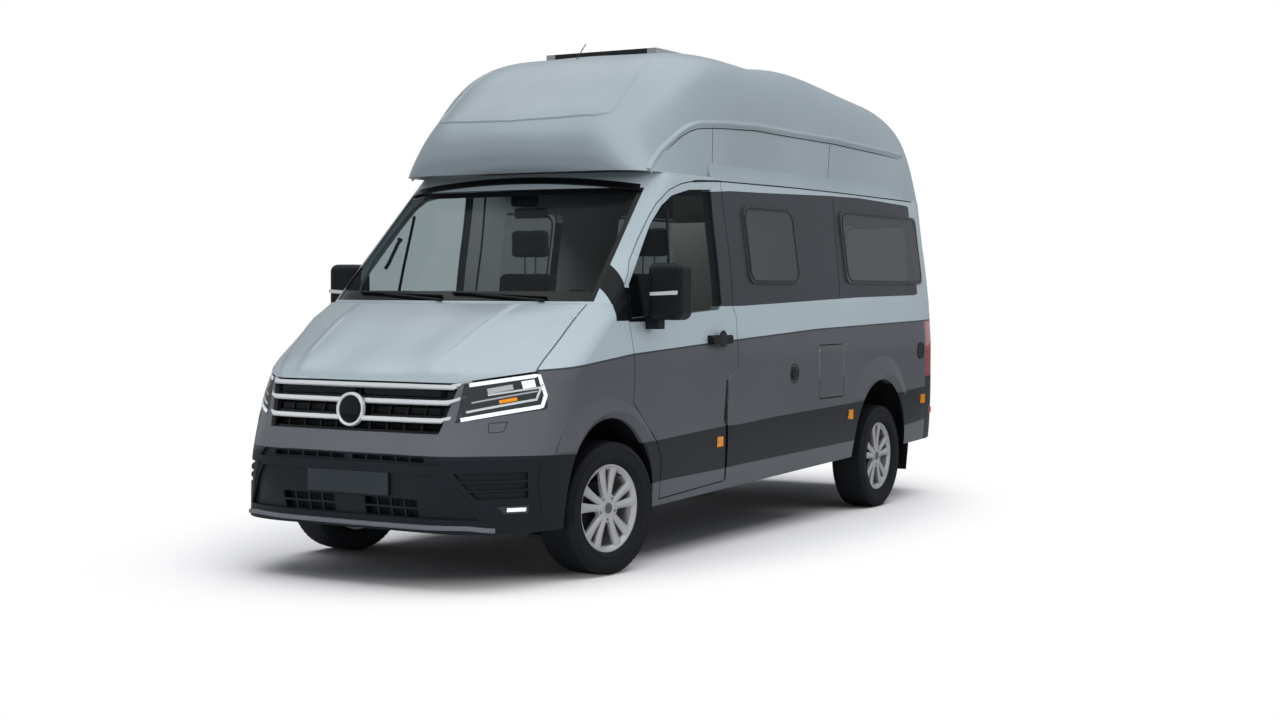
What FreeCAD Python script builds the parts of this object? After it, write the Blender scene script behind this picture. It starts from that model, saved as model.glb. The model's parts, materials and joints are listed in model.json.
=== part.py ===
"""High-roof camper van, front towards -Y, left side towards +X, up +Z, millimetres.

The origin is on the ground, under the middle of the whole van. The body is a stack of
plan outlines lofted upwards, hollowed to its walls and split where the real panels meet.
"""
import FreeCAD
import Part
import math
import os

V = FreeCAD.Vector

# driving dimensions
WHEELBASE = 3640
FRONT_OVERHANG = 1040
REAR_OVERHANG = 1306
BODY_HALF = 985            # half width of the sides at the belt
SKIRT_Z = 300              # lowest edge of the bumper
BELT_Z = 1440              # foot of the windscreen
GUTTER_Z = 2185            # seam between body and high roof
ROOF_Z = 2962              # highest skin of the high roof
WALL = 60                  # whole thickness of a side wall or door
NOSE_WALL = 30             # bonnet, wings and bumper skins
GLASS = 8
SEAM = 7                   # gap round a door
TINY_SEAM = 4              # gap between fixed panels
OVERRUN = 40               # how far a cutting tool runs past
PIECE_GAP = 0.3            # fixed pieces lie this close
FAR = 4 * WHEELBASE        # larger than the van, for half spaces

FRONT_AXLE_Y = (FRONT_OVERHANG - WHEELBASE - REAR_OVERHANG) / 2
REAR_AXLE_Y = FRONT_AXLE_Y + WHEELBASE
HUB_BACK = 18              # front hubs behind the middle of their arches
FRONT_HUB_Y = FRONT_AXLE_Y + HUB_BACK

# wheels
TRACK_FRONT = 1731
TRACK_REAR = 1713
TYRE_R = 357
TYRE_WIDTH = 235
RIM_R = 234
SEAT_R = 214
RIM_WIDTH = 178
RIM_WALL = 9
HUB_R = 76
SPOKE_COUNT = 5
STEER_REST_DEG = -9
STEER_LOCK_DEG = 35
KINGPIN_X = 720
FLOOR_Z = 560
FLOOR_THICK = 60
FLOOR_CORNER_X = 690       # the floor's rear corners are cut off for the door edges
FLOOR_CORNER_Y = 4740


def at(y):
    """A length measured back from the front axle, as a station of the van."""
    return FRONT_AXLE_Y + y


# hull outlines
# half width of the body sides: (share of GUTTER_Z, share of BODY_HALF)
SIDE_SHARES = ((0.0, 0.96), (0.14, 0.968), (0.21, 0.990), (0.32, 1.0), (0.52, 1.0), (0.66, 0.980),
               (0.74, 0.961), (0.82, 0.937), (0.90, 0.913), (0.975, 0.895), (1.05, 0.872))
# levels of the nose: height share of BELT_Z, then the front outline from the middle to the
# side as (share of BODY_HALF, share of FRONT_OVERHANG ahead of the axle)
LOWER_SHARES = (
    (0.208, ((0, 0.948), (0.558, 0.938), (0.772, 0.866), (0.914, 0.660), (None, 0.400))),
    (0.333, ((0, 0.987), (0.558, 0.981), (0.792, 0.847), (0.924, 0.665), (None, 0.400))),
    (0.458, ((0, 0.991), (0.589, 0.981), (0.812, 0.808), (0.944, 0.630), (None, 0.365))),
    (0.556, ((0, 0.975), (0.553, 0.947), (0.792, 0.790), (0.939, 0.606), (None, 0.365))),
    (0.642, ((0, 0.940), (0.589, 0.890), (0.792, 0.745), (0.934, 0.577), (None, 0.365))),
    (0.728, ((0, 0.882), (0.594, 0.856), (0.792, 0.685), (0.934, 0.529), (None, 0.365))),
)
BONNET_SHARES = (
    (0.728, ((0, 0.882), (0.594, 0.856), (0.792, 0.685), (0.934, 0.529), (None, 0.365))),
    (0.778, ((0, 0.832), (0.584, 0.820), (0.792, 0.640), (0.934, 0.481), (None, 0.317))),
    (0.833, ((0, 0.712), (0.477, 0.726), (0.670, 0.654), (0.863, 0.462), (None, 0.212))),
    (0.903, ((0, 0.543), (0.497, 0.553), (0.751, 0.452), (0.873, 0.312), (None, 0.077))),
    (0.965, ((0, 0.375), (0.523, 0.380), (0.812, 0.260), (0.904, 0.144), (None, -0.058))),
    (1.0, ((0, 0.260), (0.538, 0.260), (0.832, 0.144), (0.924, 0.048), (None, -0.125))),
)
GLASSHOUSE_SHARES = (
    (1.0, ((0, 0.192), (0.508, 0.159), (0.897, 0.053), (0.954, -0.019), (None, -0.144))),
    (1.125, ((0, 0.024), (0.508, -0.010), (0.879, -0.120), (0.939, -0.192), (None, -0.327))),
    (1.25, ((0, -0.149), (0.487, -0.183), (0.863, -0.298), (0.919, -0.370), (None, -0.500))),
    (1.361, ((0, -0.312), (0.477, -0.341), (0.847, -0.454), (0.900, -0.529), (None, -0.654))),
    (1.480, ((0, -0.481), (0.467, -0.510), (0.829, -0.622), (0.881, -0.697), (None, -0.827))),
    (1.535, ((0, -0.560), (0.462, -0.590), (0.821, -0.700), (0.872, -0.776), (None, -0.900))),
)
MID_SHARE = 0.25           # drop of the front outline half way to its first point
# rear corner from the side to the middle: (share of the half width, share of the corner depth)
TAIL_SHARES = ((0.985, 0.45), (0.945, 0.68), (0.87, 0.86), (0.72, 0.955), (0.35, 0.995))
TAIL_CORNER_Y = 4100       # back from the front axle, where the sides start to draw in
# depth of the tail: (share of GUTTER_Z, share of the distance from front axle to tail)
TAIL_END_SHARES = ((0.0, 0.994), (0.35, 1.0), (0.60, 0.9985), (0.85, 0.992), (1.05, 0.986))


def interpolate(table, value):
    """Smooth value between the rows of a two-column table."""
    rows = list(table)
    for k in range(len(rows) - 1):
        (a, fa), (b, fb) = rows[k], rows[k + 1]
        if value <= b or k == len(rows) - 2:
            t = (value - a) / (b - a)
            return fa + (fb - fa) * t


def side_half(z):
    return BODY_HALF * interpolate(SIDE_SHARES, z / GUTTER_Z)


def tail_y(z):
    return (WHEELBASE + REAR_OVERHANG) * interpolate(TAIL_END_SHARES, z / GUTTER_Z)


def spline_edge(points, start_dir, end_dir):
    curve = Part.BSplineCurve()
    curve.interpolate(Points=points, InitialTangent=start_dir, FinalTangent=end_dir, Scale=False)
    return curve.toShape()


def plan_wire(z, front, inset, nose_inset):
    """Closed plan outline at one height; the inset draws every wall inwards."""
    half = side_half(z) - inset
    grow = half / side_half(z)
    left = []
    for share_x, share_y in front:
        x = half if share_x is None else share_x * BODY_HALF * grow
        left.append((x, at(nose_inset - share_y * FRONT_OVERHANG)))
    (_, tip_y), (near_x, near_y) = left[:2]
    left.insert(1, (near_x / 2, tip_y + MID_SHARE * (near_y - tip_y)))
    nose = [V(-x, y, z) for x, y in reversed(left)] + [V(x, y, z) for x, y in left[1:]]
    tail_end = tail_y(z) - inset
    depth = tail_end - TAIL_CORNER_Y
    right_to_left = [(half, at(TAIL_CORNER_Y))]
    for share_x, share_y in TAIL_SHARES:
        right_to_left.append((share_x * half, at(TAIL_CORNER_Y + share_y * depth)))
    tail = [V(x, y, z) for x, y in right_to_left] + [V(0, at(tail_end), z)]
    tail += [V(-x, y, z) for x, y in reversed(right_to_left)]
    forward, back = V(0, -1, 0), V(0, 1, 0)
    edges = [spline_edge(nose, forward, back),
             Part.LineSegment(nose[-1], tail[0]).toShape(),
             spline_edge(tail, back, forward),
             Part.LineSegment(tail[-1], nose[0]).toShape()]
    return Part.Wire(edges)


def zone(levels, inset, nose_inset):
    wires = [plan_wire(share * BELT_Z, front, inset, nose_inset) for share, front in levels]
    return Part.makeLoft(wires, True, False)


HULLS = {}


def hull(inset, nose_inset):
    """The body from bumper to gutter as one solid, drawn in by the insets."""
    if (inset, nose_inset) not in HULLS:
        solid = zone(LOWER_SHARES, inset, nose_inset)
        for levels in (BONNET_SHARES, GLASSHOUSE_SHARES):
            solid = solid.fuse(zone(levels, inset, nose_inset))
        HULLS[(inset, nose_inset)] = solid
    return HULLS[(inset, nose_inset)]


def box(x, y, z):
    """Box between pairs of limits."""
    return Part.makeBox(x[1] - x[0], y[1] - y[0], z[1] - z[0], V(x[0], y[0], z[0]))


def closed_face(points):
    return Part.Face(Part.makePolygon(list(points) + [points[0]]))


def prism_x(points, x):
    """Outline in (y, z) pulled through a span of x."""
    return closed_face([V(x[0], y, z) for y, z in points]).extrude(V(x[1] - x[0], 0, 0))


def prism_y(points, y):
    """Outline in (x, z) pulled through a span of y."""
    return closed_face([V(px, y[0], pz) for px, pz in points]).extrude(V(0, y[1] - y[0], 0))


def tube_x(y, z, radius, x):
    """Round bar along x."""
    return Part.makeCylinder(radius, x[1] - x[0], V(x[0], y, z), V(1, 0, 0))


def mirror(shape):
    """The same piece on the other side of the van."""
    return shape.mirror(V(0, 0, 0), V(1, 0, 0))


def grown(outline, amount):
    """An outline moved outwards by an amount, or inwards where it is negative."""
    edges = Part.makePolygon([V(a, b, 0) for a, b in outline] + [V(outline[0][0], outline[0][1], 0)])
    moved = edges.makeOffset2D(amount, 2)
    return [(v.Point.x, v.Point.y) for v in moved.OrderedVertexes]


def rounded(points, radius):
    """Face-ready wire of an outline in the xy plane with all its corners rounded."""
    wire = Part.makePolygon([V(a, b, 0) for a, b in points] + [V(points[0][0], points[0][1], 0)])
    return wire.makeOffset2D(-radius, 2).makeOffset2D(radius, 0)


def window_prism(points, radius, x):
    """Rounded outline in (y, z) pulled through a span of x."""
    wire = rounded(points, radius)
    turn = FreeCAD.Matrix(0, 0, 1, x[0], 1, 0, 0, 0, 0, 1, 0, 0, 0, 0, 0, 1)
    face = Part.Face(wire.transformGeometry(turn))
    return face.extrude(V(x[1] - x[0], 0, 0))


def spot(shares, low, high):
    """A place in a frame: shares of the way from its low corner to its high corner."""
    return tuple(a + share * (b - a) for share, a, b in zip(shares, low, high))


def outline(table, low, high):
    return [spot(row, low, high) for row in table]


def common(a, b):
    return a.common(b)


def solids(shape):
    """The solids of a shape, largest first."""
    return sorted(shape.Solids, key=lambda piece: -piece.Volume)


def save(name, shape):
    shape.exportStep("parts/" + name + ".step")


# panel seams, behind the front axle and up
DOOR_FRONT = 150
DOOR_REAR = 1403
DOOR_LOW_Z = 361
DOOR_HIGH_Z = 2165
# front door from its lower front corner round by the rear: shares of the door's frame
DOOR_SHARES = ((0.275, 0.000), (0.885, 0.019), (0.879, 0.195), (0.858, 0.222), (0.885, 0.348),
               (1.000, 0.385), (0.998, 0.554), (0.970, 0.584), (0.983, 0.769), (0.970, 1.000),
               (0.738, 0.993), (0.587, 0.977), (0.469, 0.954), (0.359, 0.909), (0.280, 0.863),
               (0.166, 0.789), (0.077, 0.726), (0.044, 0.690), (0.000, 0.654), (0.005, 0.546),
               (0.034, 0.445), (0.032, 0.341), (0.024, 0.305), (0.148, 0.227), (0.230, 0.179),
               (0.271, 0.120), (0.274, 0.044))
DOOR_GLASS_SHARES = ((0.026, 0.556), (0.172, 0.560), (0.592, 0.570), (0.830, 0.578), (0.859, 0.598),
                     (0.867, 0.970), (0.650, 0.962), (0.481, 0.938), (0.383, 0.904), (0.272, 0.844),
                     (0.164, 0.764), (0.072, 0.693), (0.024, 0.656))
DOOR_SKIN = 20             # outer depth with the full outline
DOOR_STEP = 15             # the rest of the door stays inside it by this
HINGE_IN = 45              # hinge leaf behind the skin
HINGE_DEEP = 35
HINGE_FRONT = 185          # behind the front axle
HINGE_LONG = 30
HINGE_LOW_Z = 1030
HINGE_HIGH = 80
BONNET_HALF = 860
BONNET_FRONT_Z = 1049
BONNET_REAR = 85           # last edge of the bonnet, ahead of the front axle
BUMPER_TOP_Z = 668
REAR_DOOR_HALF = 800
REAR_BUMPER_TOP_Z = 480
REAR_BUMPER_LOW_Z = 420
LAMP_FRONT = 4466
LAMP_LOW_Z = 887
LAMP_HIGH_Z = 1294
SILL_FRONT = 380
SILL_KNEE = 494
SILL_LOW_FRONT_Z = 320
SILL_RAKE = 0.025
DOOR_RISE = 35             # the lower door edge rises towards the rear
FLAP_FRONT = 2574
FLAP_REAR = 2951
FLAP_LOW_Z = 816
FLAP_HIGH_Z = 1158
FLAP_THICK = 24
PIN_OUT = 1                # hinge pin of the flap outside the side
SLIDE_FRONT = 1440
SLIDE_REAR = 2700
WINDOW_PROUD = 14
WINDOW_THICK = 26
WINDOW_CORNER = 55
MIDDLE_WINDOW = ((1612, 1560), (2306, 2030))    # low and high corners, behind the axle and up
REAR_WINDOW = ((3050, 1569), (4440, 2056))
# wheel arches about the hub: degrees up from straight back, then the radii of the opening, of
# the crest of the flare and of its foot, as shares of TYRE_R
FRONT_ARCH_SHARES = (
    (-15, 1.152, 1.375, 1.467), (0, 1.155, 1.375, 1.467), (15, 1.166, 1.375, 1.467),
    (30, 1.187, 1.375, 1.467), (45, 1.217, 1.378, 1.499), (60, 1.256, 1.397, 1.570),
    (75, 1.301, 1.422, 1.614), (90, 1.346, 1.446, 1.676), (105, 1.383, 1.467, 1.767),
    (120, 1.406, 1.490, 1.840), (135, 1.405, 1.500, 1.860), (150, 1.385, 1.500, 1.822),
    (165, 1.355, 1.496, 1.800), (180, 1.335, 1.490, 1.790), (195, 1.330, 1.490, 1.790))
REAR_ARCH_SHARES = (
    (-15, 1.157, 1.420, 1.657), (0, 1.165, 1.430, 1.657), (15, 1.210, 1.450, 1.657),
    (30, 1.283, 1.480, 1.690), (45, 1.371, 1.530, 1.760), (60, 1.447, 1.590, 1.894),
    (75, 1.496, 1.639, 2.020), (90, 1.513, 1.653, 2.079), (105, 1.499, 1.625, 2.102),
    (120, 1.466, 1.580, 2.110), (135, 1.432, 1.540, 2.088), (150, 1.412, 1.520, 2.057),
    (165, 1.417, 1.520, 2.057), (180, 1.443, 1.530, 2.057), (195, 1.460, 1.540, 2.057))
OPENING, CREST, FOOT = 1, 2, 3     # columns of the arch tables
ARCH_LIP = 7               # opening edge behind the side
FLARE_SINK = 4             # foot of the flare behind the side
FLARE_LOW_FRONT_Z = 692
FLARE_LOW_REAR_Z = 774
LINER_WALL = 6
LINER_INNER_X = 500
LINER_OVER = 12            # liner outside the opening
LINER_LEAST = 455          # room for the steered wheel


def framed(window):
    """Window corners as (y, z) points of the van."""
    (y0, z0), (y1, z1) = window
    return [(at(y0), z0), (at(y1), z0), (at(y1), z1), (at(y0), z1)]


def door_outline():
    return outline(DOOR_SHARES, (at(DOOR_FRONT), DOOR_LOW_Z), (at(DOOR_REAR), DOOR_HIGH_Z))


def glass_outline():
    return outline(DOOR_GLASS_SHARES, (at(DOOR_FRONT), DOOR_LOW_Z), (at(DOOR_REAR), DOOR_HIGH_Z))


def arch_wire(end, column, x, grow=0, least=0):
    """Round arch outline in a plane across x; end is (axle station, table)."""
    axle_y, table = end
    points = []
    for row in table:
        angle = math.radians(row[0])
        radius = max(row[column] * TYRE_R + grow, least)
        points.append(V(x, axle_y + radius * math.cos(angle), TYRE_R + radius * math.sin(angle)))
    curve = Part.BSplineCurve()
    curve.interpolate(points)
    return Part.Wire([curve.toShape(), Part.LineSegment(points[-1], points[0]).toShape()])


FRONT_END = (FRONT_AXLE_Y, FRONT_ARCH_SHARES)
REAR_END = (REAR_AXLE_Y, REAR_ARCH_SHARES)


def wheel_cut(end):
    """Opening in the side, widening outwards to the crest of the flare."""
    wires = [arch_wire(end, OPENING, LINER_INNER_X), arch_wire(end, OPENING, BODY_HALF - ARCH_LIP),
             arch_wire(end, CREST, BODY_HALF + WINDOW_PROUD), arch_wire(end, CREST, BODY_HALF + OVERRUN)]
    return Part.makeLoft(wires, True, True)


def flare(end, low_z):
    """Swelling round a wheel opening, kept close to the curved side."""
    wires = [arch_wire(end, FOOT, BODY_HALF - NOSE_WALL / 2), arch_wire(end, FOOT, BODY_HALF - FLARE_SINK),
             arch_wire(end, CREST, BODY_HALF + WINDOW_PROUD)]
    swell = Part.makeLoft(wires, True, True)
    swell = common(swell, box((0, FAR), (-FAR, FAR), (low_z, FAR)))
    return common(swell, hull(-WINDOW_PROUD, 0))


def with_mirror(shapes):
    return list(shapes) + [mirror(shape) for shape in shapes]


class Hull:
    """The outer body, its hollow and the shells between them, each made once."""

    def __init__(self):
        self.outer = hull(0, 0)
        front, rear = flare(FRONT_END, FLARE_LOW_FRONT_Z), flare(REAR_END, FLARE_LOW_REAR_Z)
        self.cuts = with_mirror([wheel_cut(FRONT_END), wheel_cut(REAR_END)])
        whole = self.outer.cut(hull(WALL, WALL))
        self.wall = whole.fuse([front, rear])
        self.rear_wall = whole
        self.skin = self.outer.cut(hull(NOSE_WALL, NOSE_WALL)).fuse(with_mirror([front]))
        self.glass_skin = hull(GLASS, GLASS).cut(hull(GLASS + GLASS, GLASS + GLASS))
        span = (BODY_HALF / 2, BODY_HALF + OVERRUN)
        opening = prism_x(grown(door_outline(), SEAM), span)
        self.doors = with_mirror([opening])

    def surface_y(self, x, z, ends_behind):
        """Station where the outer surface stands at the rear or at the front."""
        y = FAR if ends_behind else -FAR
        line = Part.makeLine(V(x, 0, z), V(x, y, z))
        inside = line.common(self.outer)
        stations = [vertex.Point.y for vertex in inside.Vertexes]
        return max(stations) if ends_behind else min(stations)


def front_door(body):
    """Door shell with its window opening, stepped back round its inner edge, and its glass."""
    span = (BODY_HALF / 2, BODY_HALF + OVERRUN)
    region = prism_x(door_outline(), span)
    ring = region.cut(prism_x(grown(door_outline(), -DOOR_STEP), span))
    shell = common(body.wall, region).cut(prism_x(glass_outline(), span))
    shell = shell.cut([common(hull(DOOR_SKIN, DOOR_SKIN), ring), body.cuts[0]])
    leaf = box((BODY_HALF - HINGE_IN, BODY_HALF - HINGE_IN + HINGE_DEEP),
               (at(HINGE_FRONT) + PIECE_GAP, at(HINGE_FRONT) + HINGE_LONG + PIECE_GAP),
               (HINGE_LOW_Z, HINGE_LOW_Z + HINGE_HIGH))
    shell = solids(shell)[0].fuse([leaf, door_handle()])
    glass = common(body.glass_skin, prism_x(grown(glass_outline(), -PIECE_GAP), span))
    return shell, glass


def flap_outline():
    y0, y1 = at(FLAP_FRONT), at(FLAP_REAR)
    return [(y0, FLAP_LOW_Z), (y1, FLAP_LOW_Z), (y1, FLAP_HIGH_Z), (y0, FLAP_HIGH_Z)]


def windows(frames):
    """Framed panes standing a little proud of the side."""
    proud = hull(-WINDOW_PROUD, 0).cut(hull(WINDOW_THICK - WINDOW_PROUD, 0))
    span = (BODY_HALF / 2, BODY_HALF + OVERRUN)
    return [common(proud, window_prism(framed(frame), WINDOW_CORNER, span)) for frame in frames]


def window_cuts(frames):
    span = (BODY_HALF / 2, BODY_HALF + OVERRUN)
    cuts = []
    for (y0, z0), (y1, z1) in frames:
        wide = ((y0 - PIECE_GAP, z0 - PIECE_GAP), (y1 + PIECE_GAP, z1 + PIECE_GAP))
        cuts.append(window_prism(framed(wide), WINDOW_CORNER + PIECE_GAP, span))
    return cuts


def wall_region():
    """Side wall outline in (y, z): the sill runs forward under the front door."""
    front, sill_front, knee = at(DOOR_REAR) - WALL - WALL, at(SILL_FRONT), at(SILL_KNEE)
    top = DOOR_LOW_Z - PIECE_GAP
    return [(sill_front, SILL_LOW_FRONT_Z), (FAR, SILL_LOW_FRONT_Z + SILL_RAKE * (FAR - sill_front)),
            (FAR, GUTTER_Z), (front, GUTTER_Z), (front, top + DOOR_RISE), (knee, top), (sill_front, top)]


def slide_outline():
    y0, y1 = at(SLIDE_FRONT), at(SLIDE_REAR)
    low = DOOR_LOW_Z + DOOR_RISE + SEAM
    return [(y0, low), (y1, low), (y1, DOOR_HIGH_Z), (y0, DOOR_HIGH_Z)]


def flap_piece(body, span):
    """Service flap with its hinge barrel in the gap along its front edge."""
    skin = body.outer.cut(hull(FLAP_THICK, FLAP_THICK))
    flap = common(skin, prism_x(flap_outline(), span))
    radius = SEAM / 2 - PIECE_GAP
    barrel = Part.makeCylinder(radius, FLAP_HIGH_Z - FLAP_LOW_Z - SEAM - SEAM,
                               V(BODY_HALF + PIN_OUT, at(FLAP_FRONT) - SEAM / 2, FLAP_LOW_Z + SEAM))
    web = box((BODY_HALF - PIN_OUT - PIN_OUT, BODY_HALF),
              (at(FLAP_FRONT) - SEAM / 2, at(FLAP_FRONT) + SEAM), (FLAP_LOW_Z + SEAM, FLAP_HIGH_Z - SEAM))
    return flap.fuse([barrel, web])


def sides(body):
    """Side walls behind the front doors, the sliding door and the service flap."""
    wall = common(body.wall, prism_x(wall_region(), (BODY_HALF / 2, FAR)))
    high = LAMP_HIGH_Z + PIECE_GAP
    corner = prism_x([(at(LAMP_FRONT), 0), (FAR, 0), (FAR, high), (at(LAMP_FRONT), high)], (0, FAR))
    wall = wall.cut([body.doors[0], rear_door_cut(), corner] + body.cuts[:2])
    wall = solids(wall.cut(window_cuts((MIDDLE_WINDOW, REAR_WINDOW))))[0]
    span = (BODY_HALF / 2, BODY_HALF + OVERRUN)
    left = wall.cut(prism_x(grown(flap_outline(), SEAM), span))
    sliding = common(wall, prism_x(slide_outline(), span))
    right = wall.cut(prism_x(grown(slide_outline(), PIECE_GAP), span))
    return left, mirror(solids(right)[0]), mirror(solids(sliding)[0]), flap_piece(body, span)


def tail(body):
    """Tail lamps in the rear corners over the dark bumper."""
    span = (-FAR, FAR)
    front = at(LAMP_FRONT) + PIECE_GAP
    lamp = prism_x([(front, LAMP_LOW_Z), (FAR, LAMP_LOW_Z), (FAR, LAMP_HIGH_Z), (front, LAMP_HIGH_Z)], span)
    low, high = REAR_BUMPER_LOW_Z, LAMP_LOW_Z - PIECE_GAP
    bar = prism_x([(front, low), (FAR, low), (FAR, high), (front, high)], span)
    lamps = common(body.rear_wall, lamp).cut(rear_door_cut())
    bumper = common(body.rear_wall, bar).cut(rear_door_cut())
    return lamps, solids(bumper)[0]


def rear_door_cut():
    """Space taken by both rear doors and the gaps round them."""
    half = REAR_DOOR_HALF + SEAM
    return box((-half, half), (at(TAIL_CORNER_Y), FAR), (REAR_BUMPER_TOP_Z - SEAM, GUTTER_Z - OVERRUN + SEAM))


def rear_doors(body):
    """The left rear door with its hinge leaf, and its window pane."""
    y0 = at(TAIL_CORNER_Y)
    high = GUTTER_Z - OVERRUN
    door = common(body.rear_wall, box((SEAM / 2, REAR_DOOR_HALF), (y0, FAR), (REAR_BUMPER_TOP_Z, high)))
    low_z, high_z = BELT_Z + WALL, high - WALL - WALL
    x0, x1 = WALL + WALL, REAR_DOOR_HALF - WALL - WALL
    door = door.cut(box((x0, x1), (y0, FAR), (low_z, high_z)))
    skin_y = body.surface_y(REAR_DOOR_HALF, HINGE_LOW_Z, True)
    leaf = box((REAR_DOOR_HALF - SEAM, REAR_DOOR_HALF + SEAM - PIECE_GAP),
               (skin_y - HINGE_IN, skin_y - HINGE_IN / 2), (HINGE_LOW_Z, HINGE_LOW_Z + HINGE_HIGH))
    pane_box = box((x0 + PIECE_GAP, x1 - PIECE_GAP), (y0, FAR), (low_z + PIECE_GAP, high_z - PIECE_GAP))
    return door.fuse(leaf), common(body.glass_skin, pane_box)


# windscreen corners: (share of BODY_HALF, share of the way from belt to gutter)
WINDSCREEN_SHARES = ((0.885, 0.02), (0.818, 0.875))
COWL_THICK = 40
COWL_BACK = 120            # rear edge, ahead of the front axle
FRAME_REAR_SHARE = 0.65    # how far back the header's cut reaches along the door


def trapezoid(shares, low, high, widen=0):
    (foot, z0), (top, z1) = shares
    foot, top = foot * BODY_HALF + widen, top * BODY_HALF + widen
    z0, z1 = low + z0 * (high - low) - widen, low + z1 * (high - low) + widen
    return [(-foot, z0), (foot, z0), (top, z1), (-top, z1)]


def front_frame(body):
    """Windscreen pillars and header, and the screen itself."""
    screen = trapezoid(WINDSCREEN_SHARES, BELT_Z, GUTTER_Z)
    span = (-FAR, at(DOOR_REAR * FRAME_REAR_SHARE))
    rear = at(DOOR_REAR) - WALL - WALL - PIECE_GAP
    frame = common(body.rear_wall, box((-FAR, FAR), (-FAR, rear), (BELT_Z, GUTTER_Z)))
    frame = frame.cut([prism_y(screen, span)] + body.doors)
    pane = common(body.glass_skin, prism_y(trapezoid(WINDSCREEN_SHARES, BELT_Z, GUTTER_Z, -PIECE_GAP), span))
    return solids(frame)[0], solids(pane.cut(body.doors))[0]


def cowl():
    """Black panel between bonnet and windscreen."""
    low, high = BELT_Z - COWL_THICK, BELT_Z - PIECE_GAP
    slab = box((-BONNET_HALF, BONNET_HALF), (-FAR, at(-COWL_BACK)), (low, high))
    return solids(common(slab, hull(NOSE_WALL + SEAM, NOSE_WALL + SEAM)))[0]


# bonnet edge over the lamps and lamp outline, in (x, z)
LAMP_IN_X = 622
LAMP_OUT_X = 945
LAMP_TOP_IN_Z = 1056
LAMP_TOP_OUT_Z = 1120
LAMP_FOOT_IN_Z = 851
LAMP_FOOT_OUT_Z = 914
LAMP_BACK = 582            # ahead of the front axle
GRILLE_TOP_X = 600
GRILLE_FOOT_X = 545
GRILLE_FOOT_Z = 797
GRILLE_DEEP = 26
GRILLE_THICK = 16
STRIP_PROUD = 6
STRIP_HIGH = 18
# chrome strips: height shares between foot and top of the grille
STRIP_SHARES = (0.28, 0.64, 0.955)
BONNET_HINGE_X = 300
GRID_BAR = 11
GRILLE_COLUMNS = 10
# hollows in the dark bumper, in shares of BODY_HALF and BUMPER_TOP_Z: (x, z)
RECESS = 14
SLOT_SHARES = ((-0.599, 0.966), (0.599, 0.966), (0.556, 1.030), (-0.556, 1.030))
INTAKE_SHARES = ((-0.749, 0.558), (0.749, 0.558), (0.565, 0.894), (-0.565, 0.894))
FOG_SHARES = ((0.843, 0.599), (0.909, 0.594), (0.914, 0.660), (0.818, 0.656))
LOUVRE_SLANT_SHARES = ((0.775, 0.641), (0.652, 0.909))
LOUVRE_OUT_SHARE = 0.914
LOUVRE_BAND_SHARES = ((0.716, 0.769), (0.783, 0.835), (0.850, 0.909))
SLOT_GRID_SHARES = ((0.025, 0.49), (0.981, 1.016))
INTAKE_GRID_SHARES = ((0.10, 0.44), (0.566, 0.700))
SLOT_COLUMNS = 5
INTAKE_COLUMNS = 4
INTAKE_ROWS = 2
BONNET_HINGE_LONG = 90


def bonnet_edge(lower):
    """Front view of the bonnet: straight over the grille, rising over the lamps."""
    z0, z1, z2 = BONNET_FRONT_Z - lower, LAMP_TOP_IN_Z - lower, LAMP_TOP_OUT_Z - lower
    half = BONNET_HALF + lower
    rise = z1 + (z2 - z1) * (half - LAMP_IN_X) / (LAMP_OUT_X - LAMP_IN_X)
    high = BELT_Z + OVERRUN
    right = [(GRILLE_TOP_X - WALL / 3, z0), (LAMP_IN_X, z1), (half, rise), (half, high)]
    return right + [(-x, z) for x, z in reversed(right)]


def lamp_outline():
    drop = SEAM + PIECE_GAP
    return [(LAMP_IN_X - WALL / 5, LAMP_FOOT_IN_Z), (LAMP_OUT_X - WALL / 3, LAMP_FOOT_OUT_Z),
            (LAMP_OUT_X + OVERRUN, LAMP_TOP_OUT_Z - drop), (LAMP_IN_X, LAMP_TOP_IN_Z - drop)]


def grille_outline():
    top = BONNET_FRONT_Z - SEAM - PIECE_GAP
    return [(-GRILLE_FOOT_X, GRILLE_FOOT_Z), (GRILLE_FOOT_X, GRILLE_FOOT_Z), (GRILLE_TOP_X, top), (-GRILLE_TOP_X, top)]


def bonnet_hinges(body, panel):
    """Two blocks under the rear edge of the bonnet, close to the cowl panel."""
    nearer = panel.copy()
    nearer.translate(V(0, -PIECE_GAP, 0))
    low, high = BELT_Z - COWL_THICK + PIECE_GAP, BELT_Z - SEAM
    front = body.surface_y(BONNET_HINGE_X, low, False) + NOSE_WALL / 2
    block = box((BONNET_HINGE_X, BONNET_HINGE_X + HINGE_DEEP), (front, front + BONNET_HINGE_LONG), (low, high))
    block = common(block, body.outer).cut(nearer)
    first = min(block.Solids, key=lambda piece: piece.CenterOfMass.y)
    return [first, mirror(first)]


def grid(x, z, columns, rows):
    """Openings over a rectangle with bars between them, as (x, z) outlines."""
    wide, high = (x[1] - x[0] + GRID_BAR) / columns, (z[1] - z[0] + GRID_BAR) / rows
    cells = []
    for column in range(columns):
        for row in range(rows):
            x0, z0 = x[0] + column * wide, z[0] + row * high
            x1, z1 = x0 + wide - GRID_BAR, z0 + high - GRID_BAR
            cells.append([(x0, z0), (x1, z0), (x1, z1), (x0, z1)])
    return cells


def bumper_outline(shares):
    return [(x * BODY_HALF, z * BUMPER_TOP_Z) for x, z in shares]


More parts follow.
